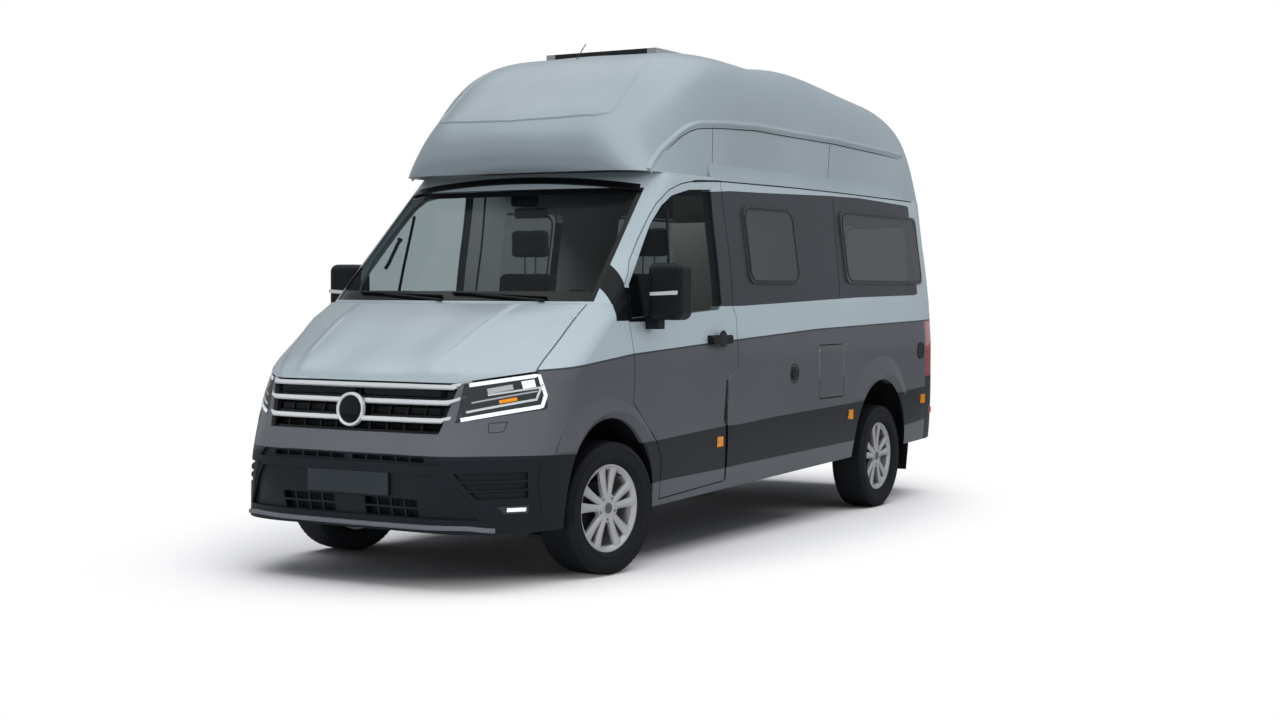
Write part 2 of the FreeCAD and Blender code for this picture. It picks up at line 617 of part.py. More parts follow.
def louvres():
    """Slots between the slanting bar and the outer edge of the bumper."""
    (foot_x, foot_z), (top_x, top_z) = LOUVRE_SLANT_SHARES
    lean = (top_x - foot_x) / (top_z - foot_z)
    slots = []
    for low, high in LOUVRE_BAND_SHARES:
        x0, x1 = foot_x + lean * (low - foot_z), foot_x + lean * (high - foot_z)
        slots.append(bumper_outline([(x0, low), (LOUVRE_OUT_SHARE, low), (LOUVRE_OUT_SHARE, high), (x1, high)]))
    return slots


def bumper_grids():
    """Openings of the upper slot and the lower intake, on the left."""
    cells = []
    for (x, z), columns, rows in ((SLOT_GRID_SHARES, SLOT_COLUMNS, 1), (INTAKE_GRID_SHARES, INTAKE_COLUMNS, INTAKE_ROWS)):
        cells += grid([share * BODY_HALF for share in x], [share * BUMPER_TOP_Z for share in z], columns, rows)
    return cells


def bumper_hollows(skin):
    """Shallow hollows, their grids, and the fog lamps that fill two of them."""
    ahead = (-FAR, at(-LAMP_BACK))
    inner = hull(RECESS, RECESS)
    fog = bumper_outline(FOG_SHARES)
    one_side = [prism_y(outline, ahead) for outline in louvres() + [fog]]
    middle = [prism_y(bumper_outline(shares), ahead) for shares in (SLOT_SHARES, INTAKE_SHARES)]
    sunk = Part.makeCompound(middle + with_mirror(one_side)).cut(inner)
    grids = with_mirror([prism_y(cell, ahead) for cell in bumper_grids()])
    lens = solids(common(skin, prism_y(grown(fog, -TINY_SEAM / 4), ahead)).cut(inner))[0]
    lens.translate(V(0, -PIECE_GAP, 0))
    return [sunk] + grids, [lens, mirror(lens)]


def nose(body, panel):
    """Bonnet, wings, painted fascia, dark bumper and head lamps."""
    skin = common(body.skin, box((-FAR, FAR), (-FAR, at(SILL_KNEE)), (0, BELT_Z)))
    skin = skin.cut(body.doors + [body.cuts[0], body.cuts[2]])
    ahead = (-FAR, FRONT_AXLE_Y)
    bonnet = solids(common(skin, prism_y(bonnet_edge(0), (-FAR, at(-BONNET_REAR)))))[0]
    bonnet = bonnet.fuse(bonnet_hinges(body, panel))
    rest = skin.cut(prism_y(bonnet_edge(SEAM), (-FAR, at(DOOR_FRONT))))
    lamps = solids(common(rest, prism_y(lamp_outline(), (-FAR, at(-LAMP_BACK)))))[0]
    hole = prism_y(grown(lamp_outline(), PIECE_GAP), (-FAR, at(-LAMP_BACK) + PIECE_GAP))
    rest = rest.cut([hole, mirror(hole), prism_y(grown(grille_outline(), PIECE_GAP), ahead)])
    bumper = common(rest, box((-FAR, FAR), ahead, (0, BUMPER_TOP_Z)))
    upper = rest.cut(box((-FAR, FAR), (-FAR, FRONT_AXLE_Y), (0, BUMPER_TOP_Z + PIECE_GAP)))
    hollows, fog_lamps = bumper_hollows(rest)
    fascia = common(upper, box((-FAR, FAR), (-FAR, at(-LAMP_BACK)), (0, BELT_Z))).cut(hollows)
    bumper = bumper.cut(hollows)
    wing = upper.cut([box((-FAR, FAR), (-FAR, at(-LAMP_BACK) + PIECE_GAP), (0, BELT_Z)),
                      box((-FAR, FAR), (FRONT_AXLE_Y, FAR), (0, DOOR_LOW_Z))])
    left = common(wing, box((0, FAR), (-FAR, FAR), (0, BELT_Z)))
    return bonnet, solids(left)[0], solids(fascia)[0], solids(bumper)[0], lamps, fog_lamps


def grille():
    """Dark grille set back between the lamps, and its bright strips."""
    ahead = (-FAR, at(-FRONT_OVERHANG / 2))
    deep, deeper = GRILLE_DEEP, GRILLE_DEEP + GRILLE_THICK
    zone_box = box((-GRILLE_TOP_X, GRILLE_TOP_X), ahead, (GRILLE_FOOT_Z, BONNET_FRONT_Z))
    front, middle = common(hull(-STRIP_PROUD, -STRIP_PROUD), zone_box), common(hull(deep, deep), zone_box)
    plate = common(middle.cut(hull(deeper, deeper)), prism_y(grille_outline(), ahead))
    gap = middle.copy()
    gap.translate(V(0, -PIECE_GAP, 0))
    rib = front.cut(gap)
    foot, top = GRILLE_FOOT_Z, BONNET_FRONT_Z - SEAM
    bars = [foot] + [foot + share * (top - foot) + STRIP_HIGH / 2 for share in STRIP_SHARES]
    half = GRILLE_FOOT_X - GRID_BAR
    cells = []
    for low, share in zip(bars, STRIP_SHARES):
        high = foot + share * (top - foot) - STRIP_HIGH / 2
        cells += grid((-half, half), (low + GRID_BAR, high - GRID_BAR), GRILLE_COLUMNS, 1)
    plate = plate.cut([prism_y(cell, ahead) for cell in cells])
    strips = []
    for share in STRIP_SHARES:
        z = foot + share * (top - foot)
        half = GRILLE_FOOT_X + share * (GRILLE_TOP_X - GRILLE_FOOT_X) - TINY_SEAM
        strip = common(rib, box((-half, half), ahead, (z - STRIP_HIGH / 2, z + STRIP_HIGH / 2)))
        strips.append(solids(strip)[0])
    return plate, Part.makeCompound(strips)


# the high roof: fan of sections about two cross lines, as shares of CROWN_R
CROWN_R = 1133
FAN_Z = 1830
FAN_FRONT = 1500
FAN_REAR = 4200
ROOF_WALL = 45
FRONT_FAN_SHARES = (
    (16.8, (0.977, 0.967, 0.905, 0.850, 0.655), (0.42, 0.816, 0.873, 0.893)),
    (23.0, (1.086, 1.060, 1.005, 0.875, 0.640), (0.406, 0.693, 0.822, 0.875)),
    (30.0, (1.101, 1.078, 1.042, 0.885, 0.645), (0.355, 0.609, 0.777, 0.858)),
    (36.0, (1.078, 1.062, 1.036, 0.897, 0.665), (0.335, 0.569, 0.756, 0.848)),
    (48.0, (1.016, 1.010, 0.992, 0.912, 0.680), (0.325, 0.569, 0.746, 0.843)),
    (68.0, (1.010, 1.004, 0.990, 0.930, 0.690), (0.335, 0.579, 0.746, 0.843)),
    (90.0, (1.0, 0.998, 0.984, 0.945, 0.695), (0.355, 0.629, 0.751, 0.843)),
)
# middle sections: station share between the fans, then the same rows
MIDDLE_FAN_SHARES = (
    (0.33, (1.002, 1.000, 0.988, 0.956, 0.697), (0.355, 0.629, 0.751, 0.843)),
    (0.63, (0.979, 0.977, 0.961, 0.924, 0.678), (0.355, 0.629, 0.751, 0.841)),
    (0.89, (0.940, 0.936, 0.915, 0.869, 0.646), (0.355, 0.619, 0.741, 0.838)),
)
REAR_FAN_SHARES = (
    (90.0, (0.915, 0.910, 0.889, 0.831, 0.630), (0.355, 0.609, 0.731, 0.835)),
    (70.0, (0.872, 0.869, 0.852, 0.786, 0.586), (0.355, 0.589, 0.721, 0.827)),
    (52.0, (0.821, 0.808, 0.768, 0.688, 0.468), (0.355, 0.594, 0.741, 0.843)),
    (38.0, (0.759, 0.741, 0.697, 0.583, 0.424), (0.386, 0.629, 0.782, 0.868)),
    (23.0, (0.680, 0.671, 0.618, 0.521, 0.371), (0.426, 0.711, 0.832, 0.888)),
)
FAN_FOOT_SHARE = 0.15
FAN_FOOT_X_SHARE = 0.905


def fan_wire(angle, hinge_y, r_shares, x_shares, leans_back):
    """Closed band, outer skin and inner skin, in a plane through a cross line."""
    sign = 1 if leans_back else -1
    cos, sin = math.cos(math.radians(angle)), math.sin(math.radians(angle))

    def place(x, r):
        return V(x, hinge_y + sign * r * cos, FAN_Z + r * sin)

    def ring(shrink):
        crown = r_shares[0] * CROWN_R
        half = [(FAN_FOOT_X_SHARE * BODY_HALF - shrink, CROWN_R * FAN_FOOT_SHARE)]
        for x_share, r_share in reversed(list(zip(x_shares, r_shares[1:]))):
            x = x_share * BODY_HALF
            half.append((x * (1 - shrink / BODY_HALF), r_share * CROWN_R * (1 - shrink / crown)))
        points = [place(x, r) for x, r in half] + [place(0, crown - shrink)]
        return points + [place(-x, r) for x, r in reversed(half)]

    outer, inner = ring(0), ring(ROOF_WALL)
    outer_edge = Part.BSplineCurve()
    outer_edge.interpolate(outer)
    inner_edge = Part.BSplineCurve()
    inner_edge.interpolate(list(reversed(inner)))
    return Part.Wire([outer_edge.toShape(), Part.LineSegment(outer[-1], inner[-1]).toShape(),
                      inner_edge.toShape(), Part.LineSegment(inner[0], outer[0]).toShape()])


def high_roof():
    wires = []
    for angle, r_shares, x_shares in FRONT_FAN_SHARES:
        wires.append(fan_wire(angle, at(FAN_FRONT), r_shares, x_shares, False))
    for share, r_shares, x_shares in MIDDLE_FAN_SHARES:
        y = at(FAN_FRONT + share * (FAN_REAR - FAN_FRONT))
        wires.append(fan_wire(90, y, r_shares, x_shares, True))
    for angle, r_shares, x_shares in REAR_FAN_SHARES:
        wires.append(fan_wire(angle, at(FAN_REAR), r_shares, x_shares, True))
    band = Part.makeLoft(wires, True, False)
    return band.cut(box((-FAR, FAR), (-FAR, FAR), (0, GUTTER_Z + PIECE_GAP)))


# wheels
def revolved(profile):
    """Profile in (x, r) turned about the x axis."""
    face = closed_face([V(x, 0, r) for x, r in profile])
    return face.revolve(V(0, 0, 0), V(1, 0, 0), 360)


# half of the tyre section, from the bead to the tread: shares of its width and of its height
BEAD_SHARES = ((0.294, 0.0), (0.330, 0.09), (0.387, 0.10))
WALL_SHARES = ((0.387, 0.10), (0.468, 0.22), (0.50, 0.50), (0.472, 0.82), (0.383, 0.97))


def tyre():
    """Tyre on the x axis, outer side towards +x."""
    bead = SEAT_R + RIM_WALL
    high = TYRE_R - bead

    def points(table, side):
        return [V(side * a * TYRE_WIDTH, 0, bead + b * high) for a, b in table]

    edges = []
    for side in (1, -1):
        foot, wall = points(BEAD_SHARES, side), points(WALL_SHARES, side)
        for a, b in zip(foot[:-1], foot[1:]):
            edges.append(Part.LineSegment(a, b).toShape())
        curve = Part.BSplineCurve()
        curve.interpolate(wall)
        edges.append(curve.toShape())
    right, left = points(WALL_SHARES, 1)[-1], points(WALL_SHARES, -1)[-1]
    edges.append(Part.Arc(right, V(0, 0, TYRE_R), left).toShape())
    edges.append(Part.LineSegment(points(BEAD_SHARES, 1)[0], points(BEAD_SHARES, -1)[0]).toShape())
    wire = Part.Wire(Part.__sortEdges__(edges))
    return Part.Face(wire).revolve(V(0, 0, 0), V(1, 0, 0), 360)


SPOKE_ROOT = 34
SPOKE_TIP = 30
SPOKE_SPREAD_DEG = 13
SPOKE_DEPTH = 30
CAP_R = 34
CAP_THICK = 8
STUD_CIRCLE_R = 60
STUD_HOLE_R = 9


def rim():
    """Cast rim with paired spokes, outer side towards +x."""
    w = RIM_WIDTH / 2
    flange, wall = RIM_R, RIM_WALL
    profile = [(-w, flange), (-w, flange - wall), (-w + wall + wall, SEAT_R - wall), (w - wall - wall, SEAT_R - wall),
               (w, flange - wall), (w, flange), (w - wall, flange), (w - wall - wall, SEAT_R + wall - PIECE_GAP),
               (-w + wall + wall, SEAT_R + wall - PIECE_GAP), (-w + wall, flange)]
    face_x = w - wall
    parts = [tube_x(0, 0, HUB_R, (face_x - SPOKE_DEPTH, face_x))]
    for k in range(SPOKE_COUNT):
        for side in (-1, 1):
            parts.append(spoke(face_x, k * 360 / SPOKE_COUNT + side * SPOKE_SPREAD_DEG))
    body = revolved(profile).fuse(parts)
    holes = []
    for k in range(SPOKE_COUNT):
        angle = math.radians((k + 0.5) * 360 / SPOKE_COUNT)
        y, z = STUD_CIRCLE_R * math.sin(angle), STUD_CIRCLE_R * math.cos(angle)
        holes.append(tube_x(y, z, STUD_HOLE_R, (face_x - SPOKE_DEPTH / 3, face_x + OVERRUN)))
    return body.cut(holes).fuse(tube_x(0, 0, CAP_R, (face_x - SPOKE_DEPTH, face_x + CAP_THICK / 2)))


def spoke(face_x, angle):
    """One of a pair of spokes, standing up from the hub before it is turned to its place."""
    r0, r1 = HUB_R - OVERRUN / 4, SEAT_R - RIM_WALL / 2
    points = [(-SPOKE_ROOT / 2, r0), (SPOKE_ROOT / 2, r0), (SPOKE_TIP / 2, r1), (-SPOKE_TIP / 2, r1)]
    face = closed_face([V(face_x - SPOKE_DEPTH, a, r) for a, r in points])
    bar = face.extrude(V(SPOKE_DEPTH - RIM_WALL / 3, 0, 0))
    bar.rotate(V(0, 0, 0), V(1, 0, 0), angle)
    return bar


def placed_wheel(shape, track, axle_y, left, steer_deg):
    piece = shape.copy() if left else mirror(shape)
    side = 1 if left else -1
    piece.translate(V(side * track / 2, axle_y, TYRE_R))
    if steer_deg:
        piece.rotate(V(side * KINGPIN_X, axle_y, 0), V(0, 0, 1), steer_deg)
    return piece


HUB_DISC_R = 140
HUB_DISC_THICK = 28
POST_HALF = 22             # half width of the knuckle post
POST_LONG = 45             # half length of it along the van
POST_LOW_Z = 186
POST_HIGH_Z = 508


def knuckle(left):
    """Upright with brake disc behind the wheel, turned with the steering."""
    side = 1 if left else -1
    hub_in = TRACK_FRONT / 2 + RIM_WIDTH / 2 - RIM_WALL - SPOKE_DEPTH
    disc = tube_x(0, 0, HUB_DISC_R, (hub_in - HUB_DISC_THICK - OVERRUN, hub_in - OVERRUN))
    stub = tube_x(0, 0, HUB_R / 2, (KINGPIN_X, hub_in - PIECE_GAP))
    post = box((KINGPIN_X - POST_HALF, KINGPIN_X + POST_HALF), (-POST_LONG, POST_LONG),
               (POST_LOW_Z - TYRE_R, POST_HIGH_Z - TYRE_R))
    piece = disc.fuse([stub, post])
    piece = piece if left else mirror(piece)
    piece.translate(V(0, FRONT_HUB_Y, TYRE_R))
    piece.rotate(V(side * KINGPIN_X, FRONT_HUB_Y, 0), V(0, 0, 1), STEER_REST_DEG)
    return piece


# floor and running gear
FLOOR_REAR = 4860
FIREWALL_Y = 60
FIREWALL_THICK = 30
FIREWALL_TOP_Z = 1300
RAIL_X = 430
RAIL_WIDE = 70
RAIL_HIGH = 90
RAIL_FRONT = -820
STEP_IN_X = 790
STEP_OUT_X = 885
STEP_THICK = 12
STEP_Z = 340
STEP_FRONT = 520
STEP_REAR = 1230
AXLE_TUBE_R = 38
DIFF_R = 130
DIFF_HALF = 90
SPRING_WIDE = 60
SPRING_HALF = 640
SPRING_THICK = 22
ENGINE = ((-360, -620), (360, 20))      # corners behind the axle: (x, y)
ENGINE_Z = (420, 1000)
MOUNT_SPOTS = (-520, -160)
EXHAUST_R = 30
EXHAUST_X = -250
EXHAUST_Z = 330
SILENCER_R = 100
HANGER_R = 8
HANGER_SPOTS = (700, 1500, 2350)


def floor_pan():
    """Load floor with the bulkhead ahead of the cab, the entry steps and the two chassis rails."""
    low = FLOOR_Z - FLOOR_THICK
    cab_room = hull(WALL + WALL, WALL + WALL)
    slab = common(hull(WALL + PIECE_GAP, WALL + PIECE_GAP),
                  box((-FAR, FAR), (at(DOOR_REAR) + SEAM, at(FLOOR_REAR)), (low, FLOOR_Z)))
    cab = common(cab_room, box((-FAR, FAR), (at(FIREWALL_Y), at(DOOR_REAR) + SEAM), (low, FLOOR_Z)))
    bulkhead = common(cab_room, box((-FAR, FAR), (at(FIREWALL_Y), at(FIREWALL_Y) + FIREWALL_THICK),
                                    (low, FIREWALL_TOP_Z - PIECE_GAP)))
    extra = [cab, bulkhead]
    for side in (-1, 1):
        x = side * RAIL_X
        extra.append(box((x - RAIL_WIDE / 2, x + RAIL_WIDE / 2), (at(RAIL_FRONT), at(FLOOR_REAR)), (low - RAIL_HIGH, low)))
    tread = box((STEP_IN_X, STEP_OUT_X), (at(STEP_FRONT), at(STEP_REAR)), (STEP_Z, STEP_Z + STEP_THICK))
    riser = box((STEP_IN_X, STEP_IN_X + STEP_THICK), (at(STEP_FRONT), at(STEP_REAR)), (STEP_Z, FLOOR_Z))
    pan = slab.fuse(extra + with_mirror([tread, riser]))
    for end in (FRONT_END, REAR_END):
        tunnel = liner_prism(end, LINER_OVER + PIECE_GAP, LINER_INNER_X - PIECE_GAP, BODY_HALF)
        pan = pan.cut([tunnel, mirror(tunnel)])
    corner = box((FLOOR_CORNER_X, FAR), (at(FLOOR_CORNER_Y), FAR), (0, FLOOR_Z + OVERRUN))
    return solids(pan.cut([corner, mirror(corner)]))[0]


def liner_prism(end, grow, x0, x1):
    least = LINER_LEAST + grow - LINER_OVER
    face = Part.Face(arch_wire(end, OPENING, x0, grow, least))
    return face.extrude(V(x1 - x0, 0, 0))


def arch_liners():
    """Black half tubes with an inner wall, over all four wheels."""
    pieces = []
    over_beam = TYRE_R + AXLE_TUBE_R + OVERRUN
    for end, wall, low in ((FRONT_END, NOSE_WALL, DOOR_LOW_Z + PIECE_GAP), (REAR_END, WALL, over_beam)):
        outside = liner_prism(end, LINER_OVER, LINER_INNER_X, BODY_HALF)
        inside = liner_prism(end, LINER_OVER - LINER_WALL, LINER_INNER_X + LINER_WALL, BODY_HALF + OVERRUN)
        half = common(outside.cut(inside), box((0, FAR), (-FAR, FAR), (low, FAR)))
        half = common(half, hull(wall + PIECE_GAP, wall + PIECE_GAP))
        pieces += [solids(half)[0], mirror(solids(half)[0])]
    return Part.makeCompound(pieces)


def rear_axle():
    """Beam axle with its differential, brake discs and two leaf springs."""
    half = TRACK_REAR / 2 + RIM_WIDTH / 2 - RIM_WALL - SPOKE_DEPTH - PIECE_GAP
    disc_in, disc_out = half - OVERRUN - HUB_DISC_THICK, half - OVERRUN
    steps = [(0, DIFF_R), (DIFF_HALF, DIFF_R), (DIFF_HALF + OVERRUN, AXLE_TUBE_R), (disc_in, AXLE_TUBE_R),
             (disc_in, HUB_DISC_R), (disc_out, HUB_DISC_R), (disc_out, AXLE_TUBE_R), (half, AXLE_TUBE_R)]
    profile = [(-x, r) for x, r in reversed(steps[1:])] + steps + [(half, 0), (-half, 0)]
    beam = revolved(profile)
    beam.translate(V(0, REAR_AXLE_Y, TYRE_R))
    top = FLOOR_Z - FLOOR_THICK - RAIL_HIGH - PIECE_GAP
    foot = TYRE_R - AXLE_TUBE_R - SPRING_THICK / 2
    leaves = []
    for side in (-1, 1):
        x = side * RAIL_X
        leaves.append(prism_x([(REAR_AXLE_Y - SPRING_HALF, top - SPRING_THICK), (REAR_AXLE_Y - SPRING_HALF, top),
                               (REAR_AXLE_Y - WALL, foot + SPRING_THICK), (REAR_AXLE_Y + WALL, foot + SPRING_THICK),
                               (REAR_AXLE_Y + SPRING_HALF, top), (REAR_AXLE_Y + SPRING_HALF, top - SPRING_THICK),
                               (REAR_AXLE_Y + WALL, foot), (REAR_AXLE_Y - WALL, foot)],
                              (x - SPRING_WIDE / 2, x + SPRING_WIDE / 2)))
    return beam.fuse(leaves)


ARM_THICK = 26
ARM_END_X = 712
CROSS_HIGH = 60
STRUT_R = 20


def front_suspension():
    """Cross member with its lower arms, and the two struts up to the wheel arches."""
    low = FLOOR_Z - FLOOR_THICK - RAIL_HIGH
    y0, y1 = FRONT_HUB_Y - POST_LONG, FRONT_HUB_Y + POST_LONG
    cross = box((-RAIL_X - RAIL_WIDE / 2, RAIL_X + RAIL_WIDE / 2), (y0, y1), (low - CROSS_HIGH - PIECE_GAP, low - PIECE_GAP))
    arms = []
    arm_top = POST_LOW_Z - PIECE_GAP
    for side in (-1, 1):
        arms.append(box(sorted((side * RAIL_X, side * ARM_END_X)), (y0, y1), (arm_top - ARM_THICK, arm_top)))
        arms.append(box(sorted((side * RAIL_X, side * (RAIL_X + RAIL_WIDE / 2))), (y0, y1),
                        (arm_top - ARM_THICK, low - CROSS_HIGH)))
    pieces = [cross.fuse(arms)]
    top = TYRE_R + TYRE_R * FRONT_ARCH_SHARES[7][OPENING] + LINER_OVER - LINER_WALL - STRUT_DROP
    for side in (-1, 1):
        foot = V(side * KINGPIN_X, FRONT_HUB_Y, POST_HIGH_Z + PIECE_GAP)
        pieces.append(Part.makeCylinder(STRUT_R, top - foot.z, foot))
    return Part.makeCompound(pieces)


STRUT_DROP = 9             # the liner falls away behind the crown of the arch


def engine():
    """Plain block on four mounts between the rails."""
    (x0, y0), (x1, y1) = ENGINE
    block = box((x0, x1), (at(y0), at(y1)), ENGINE_Z)
    block = block.makeFillet(WALL / 2, block.Edges)
    mounts = []
    low, high = FLOOR_Z - FLOOR_THICK - RAIL_HIGH + OVERRUN, FLOOR_Z - FLOOR_THICK
    for spot_y in MOUNT_SPOTS:
        mounts.append(box((x1 - WALL, RAIL_X - RAIL_WIDE / 2 - PIECE_GAP), (at(spot_y), at(spot_y) + WALL), (low, high)))
    return block.fuse(with_mirror(mounts))


def exhaust():
    """Pipe along the floor to a silencer ahead of the rear axle, hung from the floor."""
    y0, y1, y2 = at(FIREWALL_Y + WALL * 4), at(WHEELBASE / 2), at(WHEELBASE / 2 + SPRING_HALF)
    pipe = Part.makeCylinder(EXHAUST_R, y2 - y0, V(EXHAUST_X, y0, EXHAUST_Z), V(0, 1, 0))
    can = Part.makeCylinder(SILENCER_R, y2 - y1, V(EXHAUST_X, y1, EXHAUST_Z), V(0, 1, 0))
    top = FLOOR_Z - FLOOR_THICK - PIECE_GAP
    hangers = [Part.makeCylinder(HANGER_R, top - EXHAUST_Z, V(EXHAUST_X, at(y), EXHAUST_Z)) for y in HANGER_SPOTS]
    return pipe.fuse([can] + hangers)


# cab and living space
DASH_SHARES = ((0.0, 0.0), (1.0, 0.10), (1.0, 0.62), (0.62, 1.0), (-0.61, 1.02), (-0.61, 0.82), (0.0, 0.8))
DASH_BACK = 420
DASH_LOW_Z = 960
DASH_TOP_Z = 1385
SEAT_X = 430
SEAT_HALF = 255
SEAT_FRONT = 700
SEAT_DEEP = 520
SEAT_TOP_Z = 1010
CUSHION = 130
BACK_THICK = 120
BACK_TOP_Z = 1640
HEAD_HIGH = 190
HEAD_HALF = 140
HEAD_THICK = 95
HEAD_TOP_Z = 1900
WHEEL_RING_R = 190
WHEEL_TUBE_R = 16
WHEEL_Y = 560
WHEEL_Z = 1330
WHEEL_TILT_DEG = 25
COLUMN_LONG = 260


def dashboard():
    low = (at(FIREWALL_Y) + FIREWALL_THICK + PIECE_GAP, DASH_LOW_Z)
    points = outline(DASH_SHARES, low, (at(DASH_BACK), DASH_TOP_Z))
    room = hull(WALL + WALL / 2, WALL + SEAM)
    return solids(common(room, prism_x(points, (-FAR, FAR))))[0]


def steering_wheel(dash):
    """Ring, hub and column ahead of the left seat."""
    ring = Part.makeTorus(WHEEL_RING_R, WHEEL_TUBE_R)
    hub = Part.makeCylinder(WHEEL_RING_R / 3, WHEEL_TUBE_R * 2, V(0, 0, -WHEEL_TUBE_R))
    bar = box((-WHEEL_RING_R, WHEEL_RING_R), (-WHEEL_TUBE_R, WHEEL_TUBE_R), (-WHEEL_TUBE_R / 2, WHEEL_TUBE_R / 2))
    column = Part.makeCylinder(WHEEL_TUBE_R * 2, COLUMN_LONG, V(0, 0, -COLUMN_LONG))
    piece = ring.fuse([hub, bar, column])
    piece.rotate(V(0, 0, 0), V(1, 0, 0), -90 + WHEEL_TILT_DEG)
    piece.translate(V(SEAT_X, at(WHEEL_Y), WHEEL_Z))
    nearer = dash.copy()
    nearer.translate(V(0, PIECE_GAP, 0))
    return solids(piece.cut(nearer))[0]


def seat(side):
    """Pedestal, cushion, back and head rest as one padded form."""
    x0, x1 = side * SEAT_X - SEAT_HALF, side * SEAT_X + SEAT_HALF
    y0, y1 = at(SEAT_FRONT), at(SEAT_FRONT + SEAT_DEEP)
    base = box((x0 + WALL, x1 - WALL), (y0 + WALL, y1 - WALL), (FLOOR_Z + PIECE_GAP, SEAT_TOP_Z - CUSHION + WALL / 2))
    cushion = box((x0, x1), (y0, y1), (SEAT_TOP_Z - CUSHION, SEAT_TOP_Z))
    cushion = cushion.makeFillet(CUSHION / 3, cushion.Edges)
    lean = WALL * 2
    back = prism_x([(y1 - BACK_THICK, SEAT_TOP_Z - CUSHION / 2), (y1, SEAT_TOP_Z - CUSHION / 2),
                    (y1 + lean, BACK_TOP_Z), (y1 + lean - BACK_THICK, BACK_TOP_Z)], (x0, x1))
    back = back.makeFillet(BACK_THICK / 3, back.Edges)
    x = side * SEAT_X
    head = box((x - HEAD_HALF, x + HEAD_HALF), (y1 + lean - HEAD_THICK, y1 + lean), (HEAD_TOP_Z - HEAD_HIGH, HEAD_TOP_Z))
    head = head.makeFillet(HEAD_THICK / 3, head.Edges)
    post_y = y1 + lean - HEAD_THICK / 2
    post = box((x - HEAD_HALF / 3, x + HEAD_HALF / 3), (post_y - RIM_WALL, post_y + RIM_WALL),
               (BACK_TOP_Z - WALL, HEAD_TOP_Z - HEAD_HIGH + WALL / 2))
    return base.fuse([cushion, back, head, post])


BED_FRONT = 3180
BED_TOP_Z = 1020
BED_THICK = 100
LEG_X = 420
LEG_REAR = 4000
GALLEY_FRONT = 2720
GALLEY_REAR = 3150
GALLEY_DEEP = 520
GALLEY_TOP_Z = 1480
WASHROOM_FRONT = 2150
WASHROOM_REAR = 3080
WASHROOM_DEEP = 700
WASHROOM_TOP_Z = 2130


def living_units():
    """Bed across the rear, galley on the right and washroom on the left."""
    half = side_half(WASHROOM_TOP_Z) - WALL - TINY_SEAM
    bed = box((-half, half), (at(BED_FRONT), at(TAIL_CORNER_Y)), (BED_TOP_Z - BED_THICK, BED_TOP_Z))
    legs = [box((-LEG_X, LEG_X), (at(y), at(y) + WALL), (FLOOR_Z + PIECE_GAP, BED_TOP_Z - BED_THICK))
            for y in (BED_FRONT, LEG_REAR)]
    galley = box((-half, -half + GALLEY_DEEP), (at(GALLEY_FRONT), at(GALLEY_REAR)), (FLOOR_Z + PIECE_GAP, GALLEY_TOP_Z))
    washroom = box((half - WASHROOM_DEEP, half), (at(WASHROOM_FRONT), at(WASHROOM_REAR)), (FLOOR_Z + PIECE_GAP, WASHROOM_TOP_Z))
    return Part.makeCompound([bed.fuse(legs), galley, washroom])


# fittings
MIRROR_IN_X = 1005
MIRROR_OUT_X = 1213
MIRROR_FRONT = 270
MIRROR_REAR = 440
MIRROR_LOW_Z = 1355
MIRROR_HIGH_Z = 1665
MIRROR_ROUND = 45
MIRROR_ARM = 50
MARKER_HALF = 32
MARKER_PROUD = 8
MARKER_PLACES = ((3068, 683), (4379, 726))
HANDLE_FRONT = 1031
HANDLE_REAR = 1275
HANDLE_Z = 1230
HANDLE_HIGH = 46
HANDLE_OUT = 38
HATCH_FRONT = 1430
HATCH_LONG = 700
HATCH_HALF = 400
HATCH_HIGH = 35
VENT_FRONT = 3300
VENT_HALF = 200
VENT_HIGH = 20
AERIAL_Y = 1135
AERIAL_LONG = 172
AERIAL_TIP_R = 3
AERIAL_BASE_R = 28
AERIAL_FOOT_Z = 2860


def door_mirror():
    """Mirror head on a short arm from the door."""
    head = box((MIRROR_IN_X, MIRROR_OUT_X), (at(MIRROR_FRONT), at(MIRROR_REAR)), (MIRROR_LOW_Z, MIRROR_HIGH_Z))
    head = head.makeFillet(MIRROR_ROUND, head.Edges)
    x0 = side_half(MIRROR_LOW_Z) - WALL / 3
    arm = box((x0, MIRROR_IN_X + MIRROR_ARM), (at(MIRROR_FRONT) + MIRROR_ARM, at(MIRROR_REAR) - MIRROR_ARM),
              (MIRROR_LOW_Z - MIRROR_ARM, MIRROR_LOW_Z + MIRROR_ARM / 2))
    arm = arm.cut(hull(-PIECE_GAP, -PIECE_GAP))
    return head.fuse(arm)


def side_markers():
    """Amber marker lamps low on both sides."""
    pieces = []
    for y, z in MARKER_PLACES:
        block = box((BODY_HALF / 2, side_half(z) + MARKER_PROUD), (at(y) - MARKER_HALF, at(y) + MARKER_HALF),
                    (z - MARKER_HALF, z + MARKER_HALF))
        pieces.append(block.cut(hull(-PIECE_GAP, -PIECE_GAP)))
    return Part.makeCompound(with_mirror(pieces))


def door_handle():
    face_x = side_half(HANDLE_Z)
    y0, y1 = at(HANDLE_FRONT), at(HANDLE_REAR)
    bar = box((face_x + HANDLE_OUT / 2, face_x + HANDLE_OUT), (y0, y1), (HANDLE_Z - HANDLE_HIGH / 2, HANDLE_Z + HANDLE_HIGH / 2))
    feet = [box((face_x - WALL / 4, face_x + HANDLE_OUT - TINY_SEAM), (y, y + HANDLE_HIGH),
                (HANDLE_Z - HANDLE_HIGH / 3, HANDLE_Z + HANDLE_HIGH / 3)) for y in (y0, y1 - HANDLE_HIGH)]
    return bar.fuse(feet)


